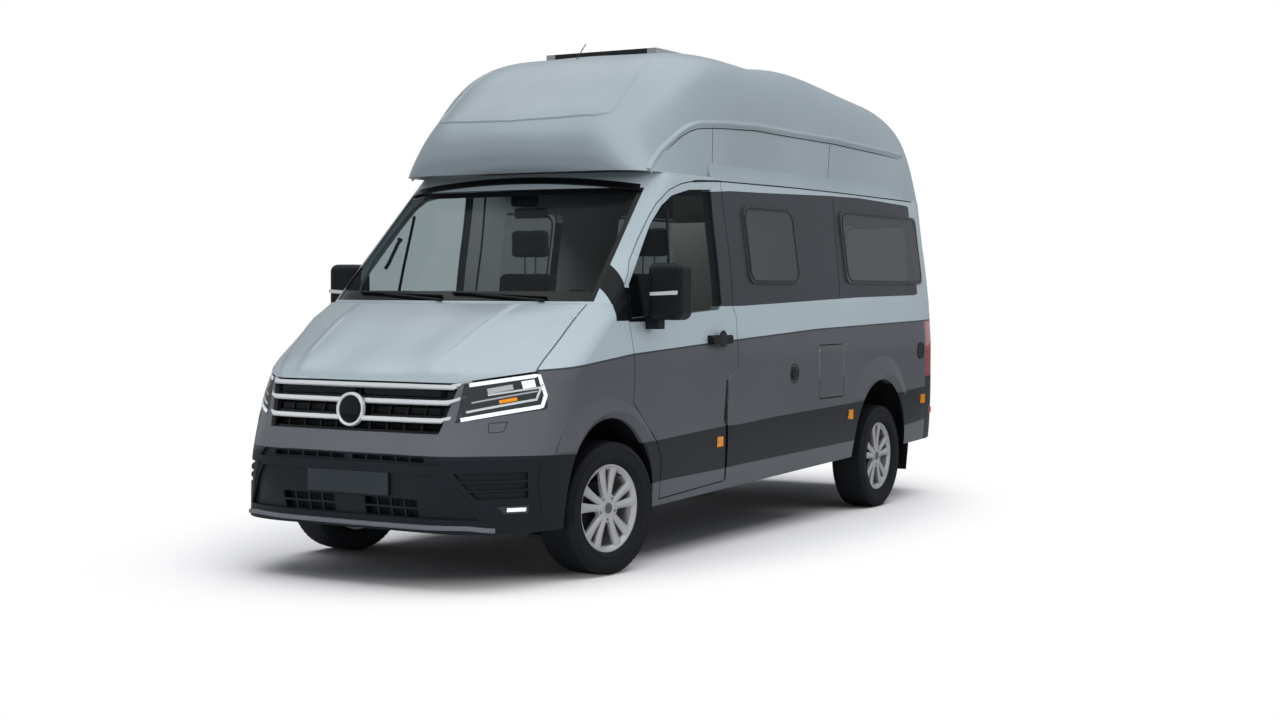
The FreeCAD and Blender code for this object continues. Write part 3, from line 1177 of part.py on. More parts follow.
def roof_fittings(roof):
    """Front hatch with a dark rim, rear vent and the aerial, each just off the skin."""
    hatch = box((-HATCH_HALF, HATCH_HALF), (at(HATCH_FRONT), at(HATCH_FRONT + HATCH_LONG)), (ROOF_Z - OVERRUN, ROOF_Z + HATCH_HIGH))
    vent = box((-VENT_HALF, VENT_HALF), (at(VENT_FRONT), at(VENT_FRONT) + VENT_HALF * 2), (ROOF_Z - OVERRUN - WALL, ROOF_Z - VENT_HIGH))
    base = Part.makeCone(AERIAL_BASE_R, AERIAL_BASE_R / 3, WALL, V(0, at(AERIAL_Y), AERIAL_FOOT_Z))
    rod = Part.makeCylinder(AERIAL_TIP_R, AERIAL_LONG, V(0, at(AERIAL_Y), AERIAL_FOOT_Z + OVERRUN), V(0, 1, 1))
    lifted = roof.copy()
    lifted.translate(V(0, 0, PIECE_GAP))
    fixed = [piece.cut(lifted) for piece in (hatch, vent, base.fuse(rod))]
    return Part.makeCompound([max(piece.Solids, key=lambda one: one.CenterOfMass.z) for piece in fixed])


def save_pair(name, shape):
    """A left piece and its mirror image."""
    save(name + "_left", shape)
    save(name + "_right", mirror(shape))


def save_body(body):
    left, right, sliding, flap = sides(body)
    save("side_wall_left", left)
    save("side_wall_right", right)
    save("sliding_door", sliding)
    save("service_flap", flap)
    lamps, rear_bumper = tail(body)
    save("tail_lamps", lamps)
    save("rear_bumper", rear_bumper)
    save("side_windows", Part.makeCompound(with_mirror(windows((MIDDLE_WINDOW, REAR_WINDOW)))))
    shell, glass = front_door(body)
    save_pair("door_front", shell)
    save_pair("door_glass", glass)
    save_pair("mirror", door_mirror())
    door, pane = rear_doors(body)
    save_pair("door_rear", door)
    save_pair("rear_glass", pane)


def save_nose(body):
    panel = cowl()
    save("cowl", panel)
    bonnet, wing, fascia, bumper, head_lamp, fog_lamps = nose(body, panel)
    save("bonnet", bonnet)
    save("fenders", Part.makeCompound(with_mirror([wing])))
    save("front_fascia", fascia)
    save("front_bumper", bumper)
    save("head_lamps", Part.makeCompound(with_mirror([head_lamp]) + fog_lamps))
    plate, strips = grille()
    save("grille", plate)
    save("grille_strips", strips)
    frame, screen = front_frame(body)
    save("windscreen_frame", frame)
    save("windscreen", screen)


def save_wheels():
    tyre_shape, rim_shape = tyre(), rim()
    for name, track, axle_y, steer in (("front", TRACK_FRONT, FRONT_HUB_Y, STEER_REST_DEG),
                                       ("rear", TRACK_REAR, REAR_AXLE_Y, 0)):
        for end, is_left in (("left", True), ("right", False)):
            save("tyre_%s_%s" % (name, end), placed_wheel(tyre_shape, track, axle_y, is_left, steer))
            save("rim_%s_%s" % (name, end), placed_wheel(rim_shape, track, axle_y, is_left, steer))
    for end, is_left in (("left", True), ("right", False)):
        save("knuckle_" + end, knuckle(is_left))


def main():
    os.makedirs("parts", exist_ok=True)
    body = Hull()
    save_body(body)
    save_nose(body)
    roof = high_roof()
    save("high_roof", roof)
    save("roof_fittings", roof_fittings(roof))
    save("floor_pan", floor_pan())
    save("arch_liners", arch_liners())
    save("rear_axle", rear_axle())
    save("front_suspension", front_suspension())
    save("engine", engine())
    save("exhaust", exhaust())
    dash = dashboard()
    save("dashboard", dash)
    save("steering_wheel", steering_wheel(dash))
    save("driver_seat", seat(1))
    save("passenger_seat", seat(-1))
    save("living_units", living_units())
    save("side_markers", side_markers())
    save_wheels()


main()
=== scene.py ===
import math

import bmesh
import bpy
from mathutils import Matrix, Vector
from mathutils.bvhtree import BVHTree
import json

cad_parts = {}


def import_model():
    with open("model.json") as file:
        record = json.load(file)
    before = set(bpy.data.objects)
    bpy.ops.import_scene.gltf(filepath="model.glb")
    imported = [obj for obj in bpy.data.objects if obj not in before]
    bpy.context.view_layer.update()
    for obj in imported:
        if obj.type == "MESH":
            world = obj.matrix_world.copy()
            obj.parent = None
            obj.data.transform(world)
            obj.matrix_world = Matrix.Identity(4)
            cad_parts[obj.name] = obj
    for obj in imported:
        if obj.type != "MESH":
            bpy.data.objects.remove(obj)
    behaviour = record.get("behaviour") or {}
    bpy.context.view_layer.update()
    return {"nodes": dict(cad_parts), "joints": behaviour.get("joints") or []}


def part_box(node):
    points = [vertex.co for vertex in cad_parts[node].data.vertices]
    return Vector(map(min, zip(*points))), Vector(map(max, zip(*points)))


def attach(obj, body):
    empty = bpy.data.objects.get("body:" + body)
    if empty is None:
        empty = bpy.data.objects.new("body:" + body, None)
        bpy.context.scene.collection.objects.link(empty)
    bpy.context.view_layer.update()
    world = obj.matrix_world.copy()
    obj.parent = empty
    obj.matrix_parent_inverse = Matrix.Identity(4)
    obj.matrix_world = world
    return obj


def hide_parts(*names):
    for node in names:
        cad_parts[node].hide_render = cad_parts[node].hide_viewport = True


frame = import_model()
NODES = frame["nodes"]
AXLE = -1.953       # the front axle's place along the van


# helpers: colours and node graphs
def rgb(text):
    """Linear colour from a written sRGB colour."""
    parts = [int(text[i:i + 2], 16) / 255 for i in (1, 3, 5)]
    return tuple(c / 12.92 if c <= 0.04045 else ((c + 0.055) / 1.055) ** 2.4 for c in parts) + (1.0,)


class Graph:
    """A material's shader nodes, made one by one."""

    def __init__(self, name):
        self.material = bpy.data.materials.new(name)
        self.material.use_nodes = True
        self.tree = self.material.node_tree
        self.tree.nodes.clear()
        self.place = self.node("ShaderNodeTexCoord").outputs["Object"]

    def node(self, kind, inputs=None, **settings):
        made = self.tree.nodes.new(kind)
        for key, value in settings.items():
            setattr(made, key, value)
        for key, value in (inputs or {}).items():
            if isinstance(value, bpy.types.NodeSocket):
                self.tree.links.new(value, made.inputs[key])
            else:
                made.inputs[key].default_value = value
        return made

    def math(self, action, *values, clamp=False):
        made = self.node("ShaderNodeMath", dict(enumerate(values)), operation=action, use_clamp=clamp)
        return made.outputs[0]

    def axes(self):
        """X, Y and Z of the place on the piece."""
        split = self.node("ShaderNodeSeparateXYZ", {0: self.place})
        return split.outputs[0], split.outputs[1], split.outputs[2]

    def curve(self, value, points, low, high, smooth=False):
        """A height read from a drawn line: points are (place, height)."""
        first, last = points[0][0], points[-1][0]
        share = self.node("ShaderNodeMapRange", {"Value": value, "From Min": first, "From Max": last})
        made = self.node("ShaderNodeFloatCurve", {"Value": share.outputs[0]})
        line = made.mapping.curves[0]
        shares = [((p - first) / (last - first), (h - low) / (high - low)) for p, h in points]
        line.points[0].location = shares[0]
        line.points[-1].location = shares[-1]
        for spot in shares[1:-1]:
            line.points.new(*spot)
        for spot in line.points:
            spot.handle_type = "AUTO" if smooth else "VECTOR"
        made.mapping.update()
        back = self.node("ShaderNodeMapRange", {"Value": made.outputs[0], "To Min": low, "To Max": high})
        return back.outputs[0]

    def step(self, value, edge, soft=0.0008):
        """0 below the edge and 1 above it."""
        made = self.node("ShaderNodeMapRange", {"Value": self.math("SUBTRACT", value, edge),
                                                "From Min": -soft, "From Max": soft})
        return made.outputs[0]

    def both(self, first, second):
        return self.math("MULTIPLY", first, second)

    def flip(self, share):
        """1 where the share is 0, and 0 where it is 1."""
        return self.math("SUBTRACT", 1.0, share)

    def within(self, value, low, high, soft=0.0008):
        return self.both(self.step(value, low, soft), self.flip(self.step(value, high, soft)))

    def mix(self, share, first, second):
        made = self.node("ShaderNodeMix", {"Factor": share}, data_type="RGBA")
        for socket, value in ((made.inputs[6], first), (made.inputs[7], second)):
            if isinstance(value, bpy.types.NodeSocket):
                self.tree.links.new(value, socket)
            else:
                socket.default_value = value
        return made.outputs[2]

    def shade(self, share, first, second):
        """A colour between two written ones."""
        return self.mix(share, rgb(first), rgb(second))

    def facing(self):
        return self.node("ShaderNodeNewGeometry").outputs["Normal"]

    def noise(self, scale, detail=3.0, rough=0.5):
        made = self.node("ShaderNodeTexNoise", {"Vector": self.place, "Scale": scale, "Detail": detail,
                                                "Roughness": rough})
        return made.outputs["Fac"]

    def spread(self, value, low, high):
        """The 0 to 1 pattern as a value between low and high."""
        made = self.node("ShaderNodeMapRange", {"Value": value, "From Min": 0.25, "From Max": 0.75,
                                                "To Min": low, "To Max": high})
        return made.outputs[0]

    def bump(self, height, depth, strength=1.0, under=None):
        inputs = {"Height": height, "Distance": depth, "Strength": strength}
        if under is not None:
            inputs["Normal"] = under
        return self.node("ShaderNodeBump", inputs).outputs[0]

    def output(self, shader):
        self.node("ShaderNodeOutputMaterial", {0: shader.outputs[0]})
        return self.material

    def finish(self, **inputs):
        named = {key.replace("_", " "): value for key, value in inputs.items()}
        return self.output(self.node("ShaderNodeBsdfPrincipled", named))


def plain(name, colour, rough=0.5, metal=0.0, grain=60.0, depth=0.0004, vary=0.12, coat=0.0):
    """A material with a little variation in tone and roughness and a fine grain."""
    g = Graph(name)
    soft, fine = g.noise(3.0), g.noise(grain, 4.0)
    full = rgb(colour)
    dark = tuple(c * (1 - vary) for c in full[:3]) + (1.0,)
    light = tuple(min(1.0, c * (1 + vary)) for c in full[:3]) + (1.0,)
    return g.finish(Base_Color=g.mix(soft, dark, light), Metallic=metal, Coat_Weight=coat, Specular_IOR_Level=0.3,
                    Roughness=g.spread(fine, rough * 0.9, min(1.0, rough * 1.1)),
                    Normal=g.bump(fine, depth, 0.5))


# car body paint, coloured by the place on the van: lines of (distance behind the front axle, height)
TWO_TONE = [(-0.75, 1.10), (-.46, 1.12), (.18, 1.175), (1.02, 1.211), (1.40, 1.226), (2.56, 1.271), (4.46, 1.305),
            (4.95, 1.313)]
BAND_TOP = [(-0.9, 0.69), (-.65, .686), (-.374, .677), (.337, .686), (.45, .689), (1.24, .719), (1.41, .716),
            (1.98, .736), (3.245, .761), (3.94, .792), (4.44, .814), (4.95, .83)]
BAND_LOW = [(-0.9, 0.36), (.39, .45), (.49, .459), (1.22, .466), (1.43, .473), (3.16, .50), (4.02, .545), (4.40, .57),
            (4.95, .60)]
FILM_TOP = [(1.18, 2.092), (1.24, 2.098), (1.49, 2.114), (2.05, 2.127), (2.92, 2.152), (3.45, 2.16), (4.30, 2.142),
            (4.34, 2.13)]
FILM_LOW = [(1.18, 1.423), (1.485, 1.424), (3.27, 1.473), (4.27, 1.487), (4.34, 1.50)]
LINING_FROM = 0.95          # height above which the walls are lined inside
STRIPE = 0.010              # dark line under the silver
SILVER = ("#A9B8BE", "#B7C4C9")
SILVER_METAL = 0.15
VAN_MIDDLE = (0.0, 0.4, 1.5)


def from_axle(points):
    """Spots measured back from the front axle, in the frame's own length."""
    return [(y + AXLE, z) for y, z in points]


def paint_flakes(g):
    """Fine metallic flake and slight orange-peel waviness."""
    flake = g.node("ShaderNodeTexVoronoi", {"Vector": g.place, "Scale": 900.0}).outputs["Distance"]
    wave = g.noise(7.0, 2.0)
    return g.bump(wave, 0.0012, 0.25, under=g.bump(flake, 0.0001, 0.12))


def across_line(g, x, y, start, end):
    """How far a place lies to the side of a line, seen from above."""
    dx, dy = end[0] - start[0], end[1] - start[1]
    length = math.hypot(dx, dy)
    return g.math("ADD", g.both(g.math("SUBTRACT", x, start[0]), dy / length),
                  g.both(g.math("SUBTRACT", y, start[1]), -dx / length))


def lined(g, colour):
    """Light lining on the faces that look into the van."""
    spot = g.node("ShaderNodeVectorMath", {0: g.place, 1: VAN_MIDDLE}, operation="SUBTRACT").outputs[0]
    out = g.node("ShaderNodeVectorMath", {0: spot, 1: g.facing()}, operation="DOT_PRODUCT").outputs["Value"]
    inner = g.both(g.step(g.axes()[2], LINING_FROM), g.flip(g.step(out, 0.0, 0.02)))
    return g.mix(inner, colour, rgb("#B4B8B9"))


def body_paint():
    """Sill, charcoal band, grey and silver from the bottom up, with a dark line under the silver."""
    g = Graph("Body paint")
    x, y, z = g.axes()
    line = g.curve(y, from_axle(TWO_TONE), 0.9, 1.4)
    band_top = g.curve(y, from_axle(BAND_TOP), 0.3, 0.9)
    band_low = g.curve(y, from_axle(BAND_LOW), 0.3, 0.9)
    tone = g.noise(1.1, 2.0)
    upper = g.step(z, line)
    colour = g.mix(g.step(z, band_low), g.shade(tone, "#53575C", "#5C6065"), g.shade(tone, "#14181D", "#1A1E23"))
    colour = g.mix(g.step(z, band_top), colour, g.shade(tone, "#4C4E53", "#57595E"))
    colour = g.mix(upper, colour, g.shade(tone, *SILVER))
    colour = g.mix(g.within(z, g.math("SUBTRACT", line, STRIPE), line), colour, rgb("#33363B"))
    return g, colour, (x, y, z), tone, upper


def lacquered(g, colour, metal):
    return g.finish(Base_Color=colour, Metallic=metal, Roughness=g.spread(g.noise(2.0), 0.28, 0.36),
                    Specular_IOR_Level=0.25, Coat_Weight=0.05, Coat_Roughness=0.06, Normal=paint_flakes(g))


def side_paint():
    """Side walls and doors: dark film round the windows, black grips and mirror feet, and painted shade in black on
    the faces of the rear wheel arch that do not face sideways.
    """
    g, colour, (x, y, z), tone, upper = body_paint()
    film_top = g.curve(y, from_axle(FILM_TOP), 1.3, 2.3)
    film_low = g.curve(y, from_axle(FILM_LOW), 1.3, 2.3)
    film = g.both(g.within(z, film_low, film_top), g.within(y, AXLE + 1.19, AXLE + 4.335))
    colour = g.mix(film, colour, g.shade(tone, "#2E3236", "#373B40"))
    grip = g.both(g.within(y, AXLE + 1.0295, AXLE + 1.2765), g.within(z, 1.205, 1.256))
    foot = g.both(g.within(y, AXLE + 0.10, AXLE + 0.33), g.within(z, 1.345, 1.53))
    # painted shade: faces of the rear wheel arch below 0.86 m that face fore, aft or down are turned black
    sideways = g.math("ABSOLUTE", g.node("ShaderNodeSeparateXYZ", {0: g.facing()}).outputs[0])
    arch = g.both(g.flip(g.step(sideways, 0.5, 0.05)), g.within(y, AXLE + 3.1, AXLE + 4.2))
    arch = g.both(arch, g.flip(g.step(z, 0.86)))
    black = g.math("MAXIMUM", g.math("MAXIMUM", grip, foot), arch)
    colour = g.mix(black, colour, rgb("#0E1114"))
    return lacquered(g, lined(g, colour), g.both(upper, g.math("SUBTRACT", SILVER_METAL,
                                                                     g.both(film, SILVER_METAL))))


def front_paint():
    """Front panels, with the black foot of the screen pillar."""
    g, colour, (x, y, z), tone, upper = body_paint()
    pillar = g.both(g.within(y, AXLE + 0.02, AXLE + 0.15), g.step(z, 1.352))
    return lacquered(g, g.mix(pillar, colour, rgb("#121417")), g.both(upper, SILVER_METAL))


def bonnet_paint():
    """Silver, with two pairs of long creases pressed in."""
    g, colour, (x, y, z), tone, upper = body_paint()
    wide, ridges = g.math("ABSOLUTE", x), []
    for start, end, width in (((0.517, AXLE - 0.374), (0.446, AXLE - 0.867), 0.03),
                              ((0.837, AXLE - 0.22), (0.575, AXLE - 0.853), 0.022)):
        across = across_line(g, wide, y, start, end)
        ridges.append(g.node("ShaderNodeMapRange", {"Value": across, "From Min": -width, "From Max": width},
                             interpolation_type="SMOOTHSTEP").outputs[0])
    normal = g.bump(g.math("ADD", *ridges), 0.012, 0.8, under=paint_flakes(g))
    return g.finish(Base_Color=g.shade(tone, *SILVER), Metallic=0.4, Roughness=g.spread(g.noise(2.0), 0.26, 0.34),
                    Coat_Weight=0.1, Coat_Roughness=0.06, Normal=normal)


def roof_paint():
    """High roof: slightly rougher moulded shell in the same silver."""
    g = Graph("Roof paint")
    silver = g.shade(g.noise(1.3, 3.0), "#A5B4BA", "#B3C0C6")
    return g.finish(Base_Color=lined(g, silver), Metallic=0.35,
                    Roughness=g.spread(g.noise(5.0), 0.32, 0.42), Coat_Weight=0.05, Coat_Roughness=0.12,
                    Normal=g.bump(g.noise(22.0, 4.0), 0.0012, 0.35))


def clear_glass(name, tint, share, low="#0B0E10", high="#14181A"):
    """Thin tinted glass: part see-through, part mirror."""
    g = Graph(name)
    haze = g.noise(2.0, 2.0)
    see = g.node("ShaderNodeBsdfTransparent", {"Color": rgb(tint)})
    shine = g.node("ShaderNodeBsdfPrincipled", {"Base Color": g.shade(haze, low, high),
                                                "Roughness": g.spread(haze, 0.02, 0.05), "Coat Weight": 0.5})
    return g.output(g.node("ShaderNodeMixShader", {0: share, 1: see.outputs[0], 2: shine.outputs[0]}))


def hatch_look():
    """Black roof fittings, with bright ends on the hatch."""
    g = Graph("Roof fittings")
    x, y, _ = g.axes()
    end = g.both(g.step(g.math("ABSOLUTE", x), 0.335), g.flip(g.step(y, 0.3)))
    soft = g.shade(g.noise(4.0), "#0D1013", "#13171A")
    return g.finish(Base_Color=g.mix(end, soft, rgb("#A9ADB0")), Metallic=g.both(end, 0.3),
                    Roughness=g.spread(g.noise(30.0), 0.35, 0.5), Normal=g.bump(g.noise(300.0), 0.0002, 0.4))


PAINT_SIDE = side_paint()
PAINT_FRONT = front_paint()
PAINT_BONNET = bonnet_paint()
PAINT_ROOF = roof_paint()
BLACK = plain("Black plastic", "#0E1216", 0.42, grain=300.0, depth=0.0002)
GLOSS_BLACK = plain("Gloss black", "#08090B", 0.2, grain=40.0, depth=0.00005, coat=0.1)
BUMPER = plain("Bumper plastic", "#12171B", 0.5, grain=420.0, depth=0.0003)
RUBBER = plain("Seal rubber", "#0E1012", 0.65, grain=200.0)
TYRE = plain("Tyre rubber", "#16181B", 0.72, grain=140.0, depth=0.0006)
# Chrome: metal 0.5 on a near-white colour, so half its brightness is a painted reflection of the bright studio
CHROME = plain("Chrome", "#DDE1E4", 0.14, metal=0.5, grain=30.0, depth=0.00005, vary=0.05)
ALLOY = plain("Alloy", "#B4B5B6", 0.3, metal=0.4, grain=120.0, depth=0.0001, coat=0.4)
STEEL = plain("Dark steel", "#3A3D40", 0.55, metal=0.7, grain=50.0)
CAP_GREY = plain("Cap grey", "#5E6268", 0.35, metal=0.5, grain=80.0, depth=0.0001)
BRIGHT_STEEL = plain("Bright steel", "#9A9D9F", 0.35, metal=0.9, grain=70.0)
LINER = plain("Arch liner", "#111315", 0.85, grain=90.0, depth=0.001)
DASH = plain("Dashboard", "#1B1D20", 0.6, grain=350.0, depth=0.0003)
FABRIC = plain("Seat fabric", "#26282C", 0.9, grain=260.0, depth=0.0002)
WOOD = plain("Cabinet board", "#7B7873", 0.5, grain=30.0)
TRIM = plain("Light trim", "#9B9C9A", 0.7, grain=200.0)
AMBER = plain("Amber lamp", "#D9860E", 0.2, grain=300.0, coat=0.8)
RED = plain("Red lamp", "#B02A2C", 0.2, grain=300.0, coat=0.8)
WHITE = plain("White glow", "#F2F5F7", 0.25, grain=200.0, coat=0.4, vary=0.02)
GLASS_DARK = clear_glass("Dark glass", "#D0D4D6", 0.45, "#56595C", "#5E6265")
GLASS_CAB = clear_glass("Cab glass", "#E2E7E8", 0.10)
LENS = clear_glass("Lamp lens", "#8E9498", 0.35, "#4A5054", "#565C60")
PLATE = plain("Blank plate", "#262B2F", 0.45, grain=200.0, depth=0.0001)
LIP = plain("Bumper lip", "#5B6065", 0.45, grain=300.0, depth=0.0002)
HATCH = hatch_look()

SIDES = ((1, "left"), (-1, "right"))
WHEELS = ["%s_%s" % (end, side) for end in ("front", "rear") for side in ("left", "right")]
NODE_LOOKS = {
    PAINT_SIDE: ["side_wall_left", "side_wall_right", "sliding_door", "service_flap", "door_front_left",
                 "door_front_right", "door_rear_left", "door_rear_right"],
    PAINT_FRONT: ["fenders", "front_fascia", "windscreen_frame"], PAINT_BONNET: ["bonnet"], PAINT_ROOF: ["high_roof"],
    BLACK: ["cowl", "mirror_left", "mirror_right", "rear_bumper"], HATCH: ["roof_fittings"],
    BUMPER: ["front_bumper"], GLOSS_BLACK: ["grille"], CHROME: ["grille_strips"], LENS: ["head_lamps"],
    RED: ["tail_lamps"], GLASS_DARK: ["side_windows", "rear_glass_left", "rear_glass_right"],
    GLASS_CAB: ["door_glass_left", "door_glass_right", "windscreen"],
    STEEL: ["floor_pan", "rear_axle", "front_suspension", "engine", "knuckle_left", "knuckle_right"],
    BRIGHT_STEEL: ["exhaust"], LINER: ["arch_liners"], DASH: ["dashboard", "steering_wheel"],
    FABRIC: ["driver_seat", "passenger_seat"], WOOD: ["living_units"], AMBER: ["side_markers"],
    TYRE: ["tyre_" + wheel for wheel in WHEELS], ALLOY: ["rim_" + wheel for wheel in WHEELS],
}
for look, names in NODE_LOOKS.items():
    for name in names:
        NODES[name].data.materials.clear()
        NODES[name].data.materials.append(look)


# helpers: pieces
def surface(*names):
    """A searchable skin of some of the frame's nodes."""
    points, faces = [], []
    for name in names:
        mesh = NODES[name].data
        first = len(points)
        points += [v.co.copy() for v in mesh.vertices]
        faces += [[first + i for i in p.vertices] for p in mesh.polygons]
    return BVHTree.FromPolygons(points, faces)


def piece(name, points, faces, look, body="body", slot=None, smooth=True, angle=40):
    mesh = bpy.data.meshes.new(name)
    mesh.from_pydata([tuple(p) for p in points], [], faces)
    mesh.validate()
    mesh.update()
    made = bpy.data.objects.new(name, mesh)
    bpy.context.scene.collection.objects.link(made)
    tidy = bmesh.new()
    tidy.from_mesh(mesh)
    bmesh.ops.recalc_face_normals(tidy, faces=tidy.faces)
    tidy.to_mesh(mesh)
    tidy.free()
    if smooth:
        mesh.shade_smooth()
        mesh.set_sharp_from_angle(angle=math.radians(angle))
    mesh.materials.append(look)
    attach(made, body)
    return made


def lines(spots, count, closed=False):
    """The drawn line with evenly spaced spots."""
    spots = [Vector(s) for s in spots]
    if closed:
        spots.append(spots[0])
    lengths = [0.0]
    for a, b in zip(spots, spots[1:]):
        lengths.append(lengths[-1] + (b - a).length)
    made = []
    total = count if closed else count - 1
    k = 0
    for i in range(count):
        want = lengths[-1] * i / total
        while k < len(spots) - 2 and lengths[k + 1] < want:
            k += 1
        part = (want - lengths[k]) / max(1e-9, lengths[k + 1] - lengths[k])
        made.append(spots[k].lerp(spots[k + 1], part))
    return made


def swept(points, ups, section, closed=False):
    """Points and faces of a section of (across, up) carried along a line."""
    made, faces = [], []
    count, size = len(points), len(section)
    for i, (spot, up) in enumerate(zip(points, ups)):
        before = points[i - 1] if i or closed else points[0]
        after = points[(i + 1) % count] if i < count - 1 or closed else points[-1]
        along = (after - before).normalized()
        across = along.cross(up).normalized()
        top = across.cross(along).normalized()
        made += [spot + across * a + top * u for a, u in section]
    spans = count if closed else count - 1
    for i in range(spans):
        j = (i + 1) % count
        for k in range(size):
            m = (k + 1) % size
            faces.append([i * size + k, i * size + m, j * size + m, j * size + k])
    if not closed:
        faces += [list(range(size)), list(range((count - 1) * size, count * size))]
    return made, faces


def flat_section(width, high, sink=0.001):
    half, round_off = width / 2, min(width / 4, high / 2)
    return [(-half, -sink), (-half, high - round_off), (-half + round_off, high),
            (half - round_off, high), (half, high - round_off), (half, -sink)]


def round_section(radius, count=10):
    return [(radius * math.cos(2 * math.pi * k / count), radius * math.sin(2 * math.pi * k / count))
            for k in range(count)]


def strip(name, spots, ups, section, look, closed=False, **more):
    """A piece made by carrying a section along a line."""
    return piece(name, *swept(spots, ups, section, closed), look, **more)


def turned(profile, count, matrix):
    """A profile of (radius, out) turned about the matrix's own Z axis."""
    turns = [2 * math.pi * k / count for k in range(count)]
    points = [matrix @ Vector((r * math.cos(a), r * math.sin(a), h)) for r, h in profile for a in turns]
    faces = []
    for ring in range(len(profile) - 1):
        faces += [[ring * count + k, ring * count + (k + 1) % count, (ring + 1) * count + (k + 1) % count,
                   (ring + 1) * count + k] for k in range(count)]
    return points, faces


def closed_turned(profile, count, matrix):
    points, faces = turned(profile, count, matrix)
    return points, faces + [list(range(count)), [(len(profile) - 1) * count + k for k in range(count)]]


def standing(spot, out):
    """The matrix of a form that stands on a spot and points out of it."""
    return Matrix.Translation(spot) @ out.to_track_quat("Z", "Y").to_matrix().to_4x4()


def cast(skin, start, way, lift=0.0):
    """Where a ray meets a skin and the way out of it, or nothing where it misses."""
    spot, normal, _, _ = skin.ray_cast(Vector(start), Vector(way))
    if spot is None:
        return None, None
    if normal.dot(Vector(way)) > 0:
        normal = -normal
    return spot + normal * lift, normal


def from_side(skin, y, z, side, lift=0.0):
    return cast(skin, (side * 3, y, z), (-side, 0, 0), lift)


def from_front(skin, x, z, lift=0.0):
    return cast(skin, (x, -6, z), (0, 1, 0), lift)


def from_rear(skin, x, z):
    return cast(skin, (x, 6, z), (0, -1, 0))


def laid(hits):
    """Spots and ways out of the rays that met a skin."""
    met = [hit for hit in hits if hit[0] is not None]
    return [spot for spot, _ in met], [way for _, way in met]


def side_line(skin, drawn, count, side, closed=False):
    """Spots (y, z) laid on the van's side."""
    return laid(from_side(skin, p.y, p.z, side) for p in lines([(0, y, z) for y, z in drawn], count, closed))


def front_line(skin, drawn, count, closed=False):
    """Spots (x, z) laid on the van's front."""
    return laid(from_front(skin, p.x, p.z) for p in lines([(x, 0, z) for x, z in drawn], count, closed))


def side_strip(name, skin, drawn, width, high, look, side, count=60, closed=False, sink=0.001, **more):
    return strip(name, *side_line(skin, drawn, count, side, closed), flat_section(width, high, sink), look, closed,
                 **more)


def front_strip(name, skin, drawn, width, high, look, count=40, closed=False, sink=0.002):
    return strip(name, *front_line(skin, drawn, count, closed), flat_section(width, high, sink), look, closed)


def plate(name, outline, thick, look, bevel=0.002, normal=(0, 1, 0), **more):
    """A flat outline given a thickness along its normal and a small bevel."""
    outline, normal = [Vector(p) for p in outline], Vector(normal)
    centre = sum(outline, Vector()) / len(outline)
    count = len(outline)
    inner = [p + (centre - p).normalized() * bevel + normal * thick for p in outline]
    shoulder = [p + normal * (thick - bevel) for p in outline]
    faces = [list(range(count)), list(range(2 * count, 3 * count))]
    for ring in (0, count):
        faces += [[ring + i, ring + (i + 1) % count, ring + count + (i + 1) % count, ring + count + i]
                  for i in range(count)]
    return piece(name, outline + shoulder + inner, faces, look, angle=30, **more)


def disc_on_side(name, skin, y, z, radius, high, look, side, **more):
    """A low round cap on the van's side."""
    rings = ((radius, -0.002), (radius, high * 0.6), (radius * 0.94, high), (radius * 0.5, high * 1.1))
    return piece(name, *closed_turned(rings, 36, standing(*from_side(skin, AXLE + y, z, side))), look, **more)


def block(name, low, high, round_off, look, shear=0.0):
    """A block with rounded edges; shear leans its top towards the back."""
    made = bmesh.new()
    bmesh.ops.create_cube(made, size=1.0)
    size = Vector(high) - Vector(low)
    for v in made.verts:
        v.co = Vector(low) + Vector(((v.co.x + 0.5) * size.x, (v.co.y + 0.5) * size.y, (v.co.z + 0.5) * size.z))
    bmesh.ops.bevel(made, geom=made.edges[:], offset=round_off, segments=4, profile=0.5, affect="EDGES")
    for v in made.verts:
        v.co.y += shear * (v.co.z - low[2]) / size.z
    points = [v.co.copy() for v in made.verts]
    made.verts.index_update()
    faces = [[v.index for v in f.verts] for f in made.faces]
    made.free()
    return piece(name, points, faces, look)


# camera, light and floor
def camera():
    around, up, roll = math.radians(30.271), math.radians(2.183), math.radians(0.198)
    back = Vector((math.sin(around) * math.cos(up), -math.cos(around) * math.cos(up), math.sin(up)))
    right = Vector((math.cos(around), math.sin(around), 0))
    over = back.cross(right)
    turned = right * math.cos(roll) + over * math.sin(roll)
    over = over * math.cos(roll) - right * math.sin(roll)
    data = bpy.data.cameras.new("Camera")
    data.lens, data.sensor_width = 51.204, 36
    data.clip_start, data.clip_end = 0.1, 200
    made = bpy.data.objects.new("Camera", data)
    bpy.context.scene.collection.objects.link(made)
    turn = Matrix((turned, over, back)).transposed().to_4x4()
    made.matrix_world = Matrix.Translation((5.951, -10.218, 1.514)) @ turn
    bpy.context.scene.camera = made


def area_light(name, place, aim, size, watts, mirrored_by_van=True, spread=180):
    data = bpy.data.lights.new(name, "AREA")
    data.shape, data.size, data.size_y, data.energy = "RECTANGLE", size[0], size[1], watts
    data.spread = math.radians(spread)
    made = bpy.data.objects.new(name, data)
    made.location = place
    made.rotation_euler = (Vector(aim) - Vector(place)).to_track_quat("-Z", "Y").to_euler()
    bpy.context.scene.collection.objects.link(made)
    made.visible_camera = False
    made.visible_glossy = mirrored_by_van
    return made


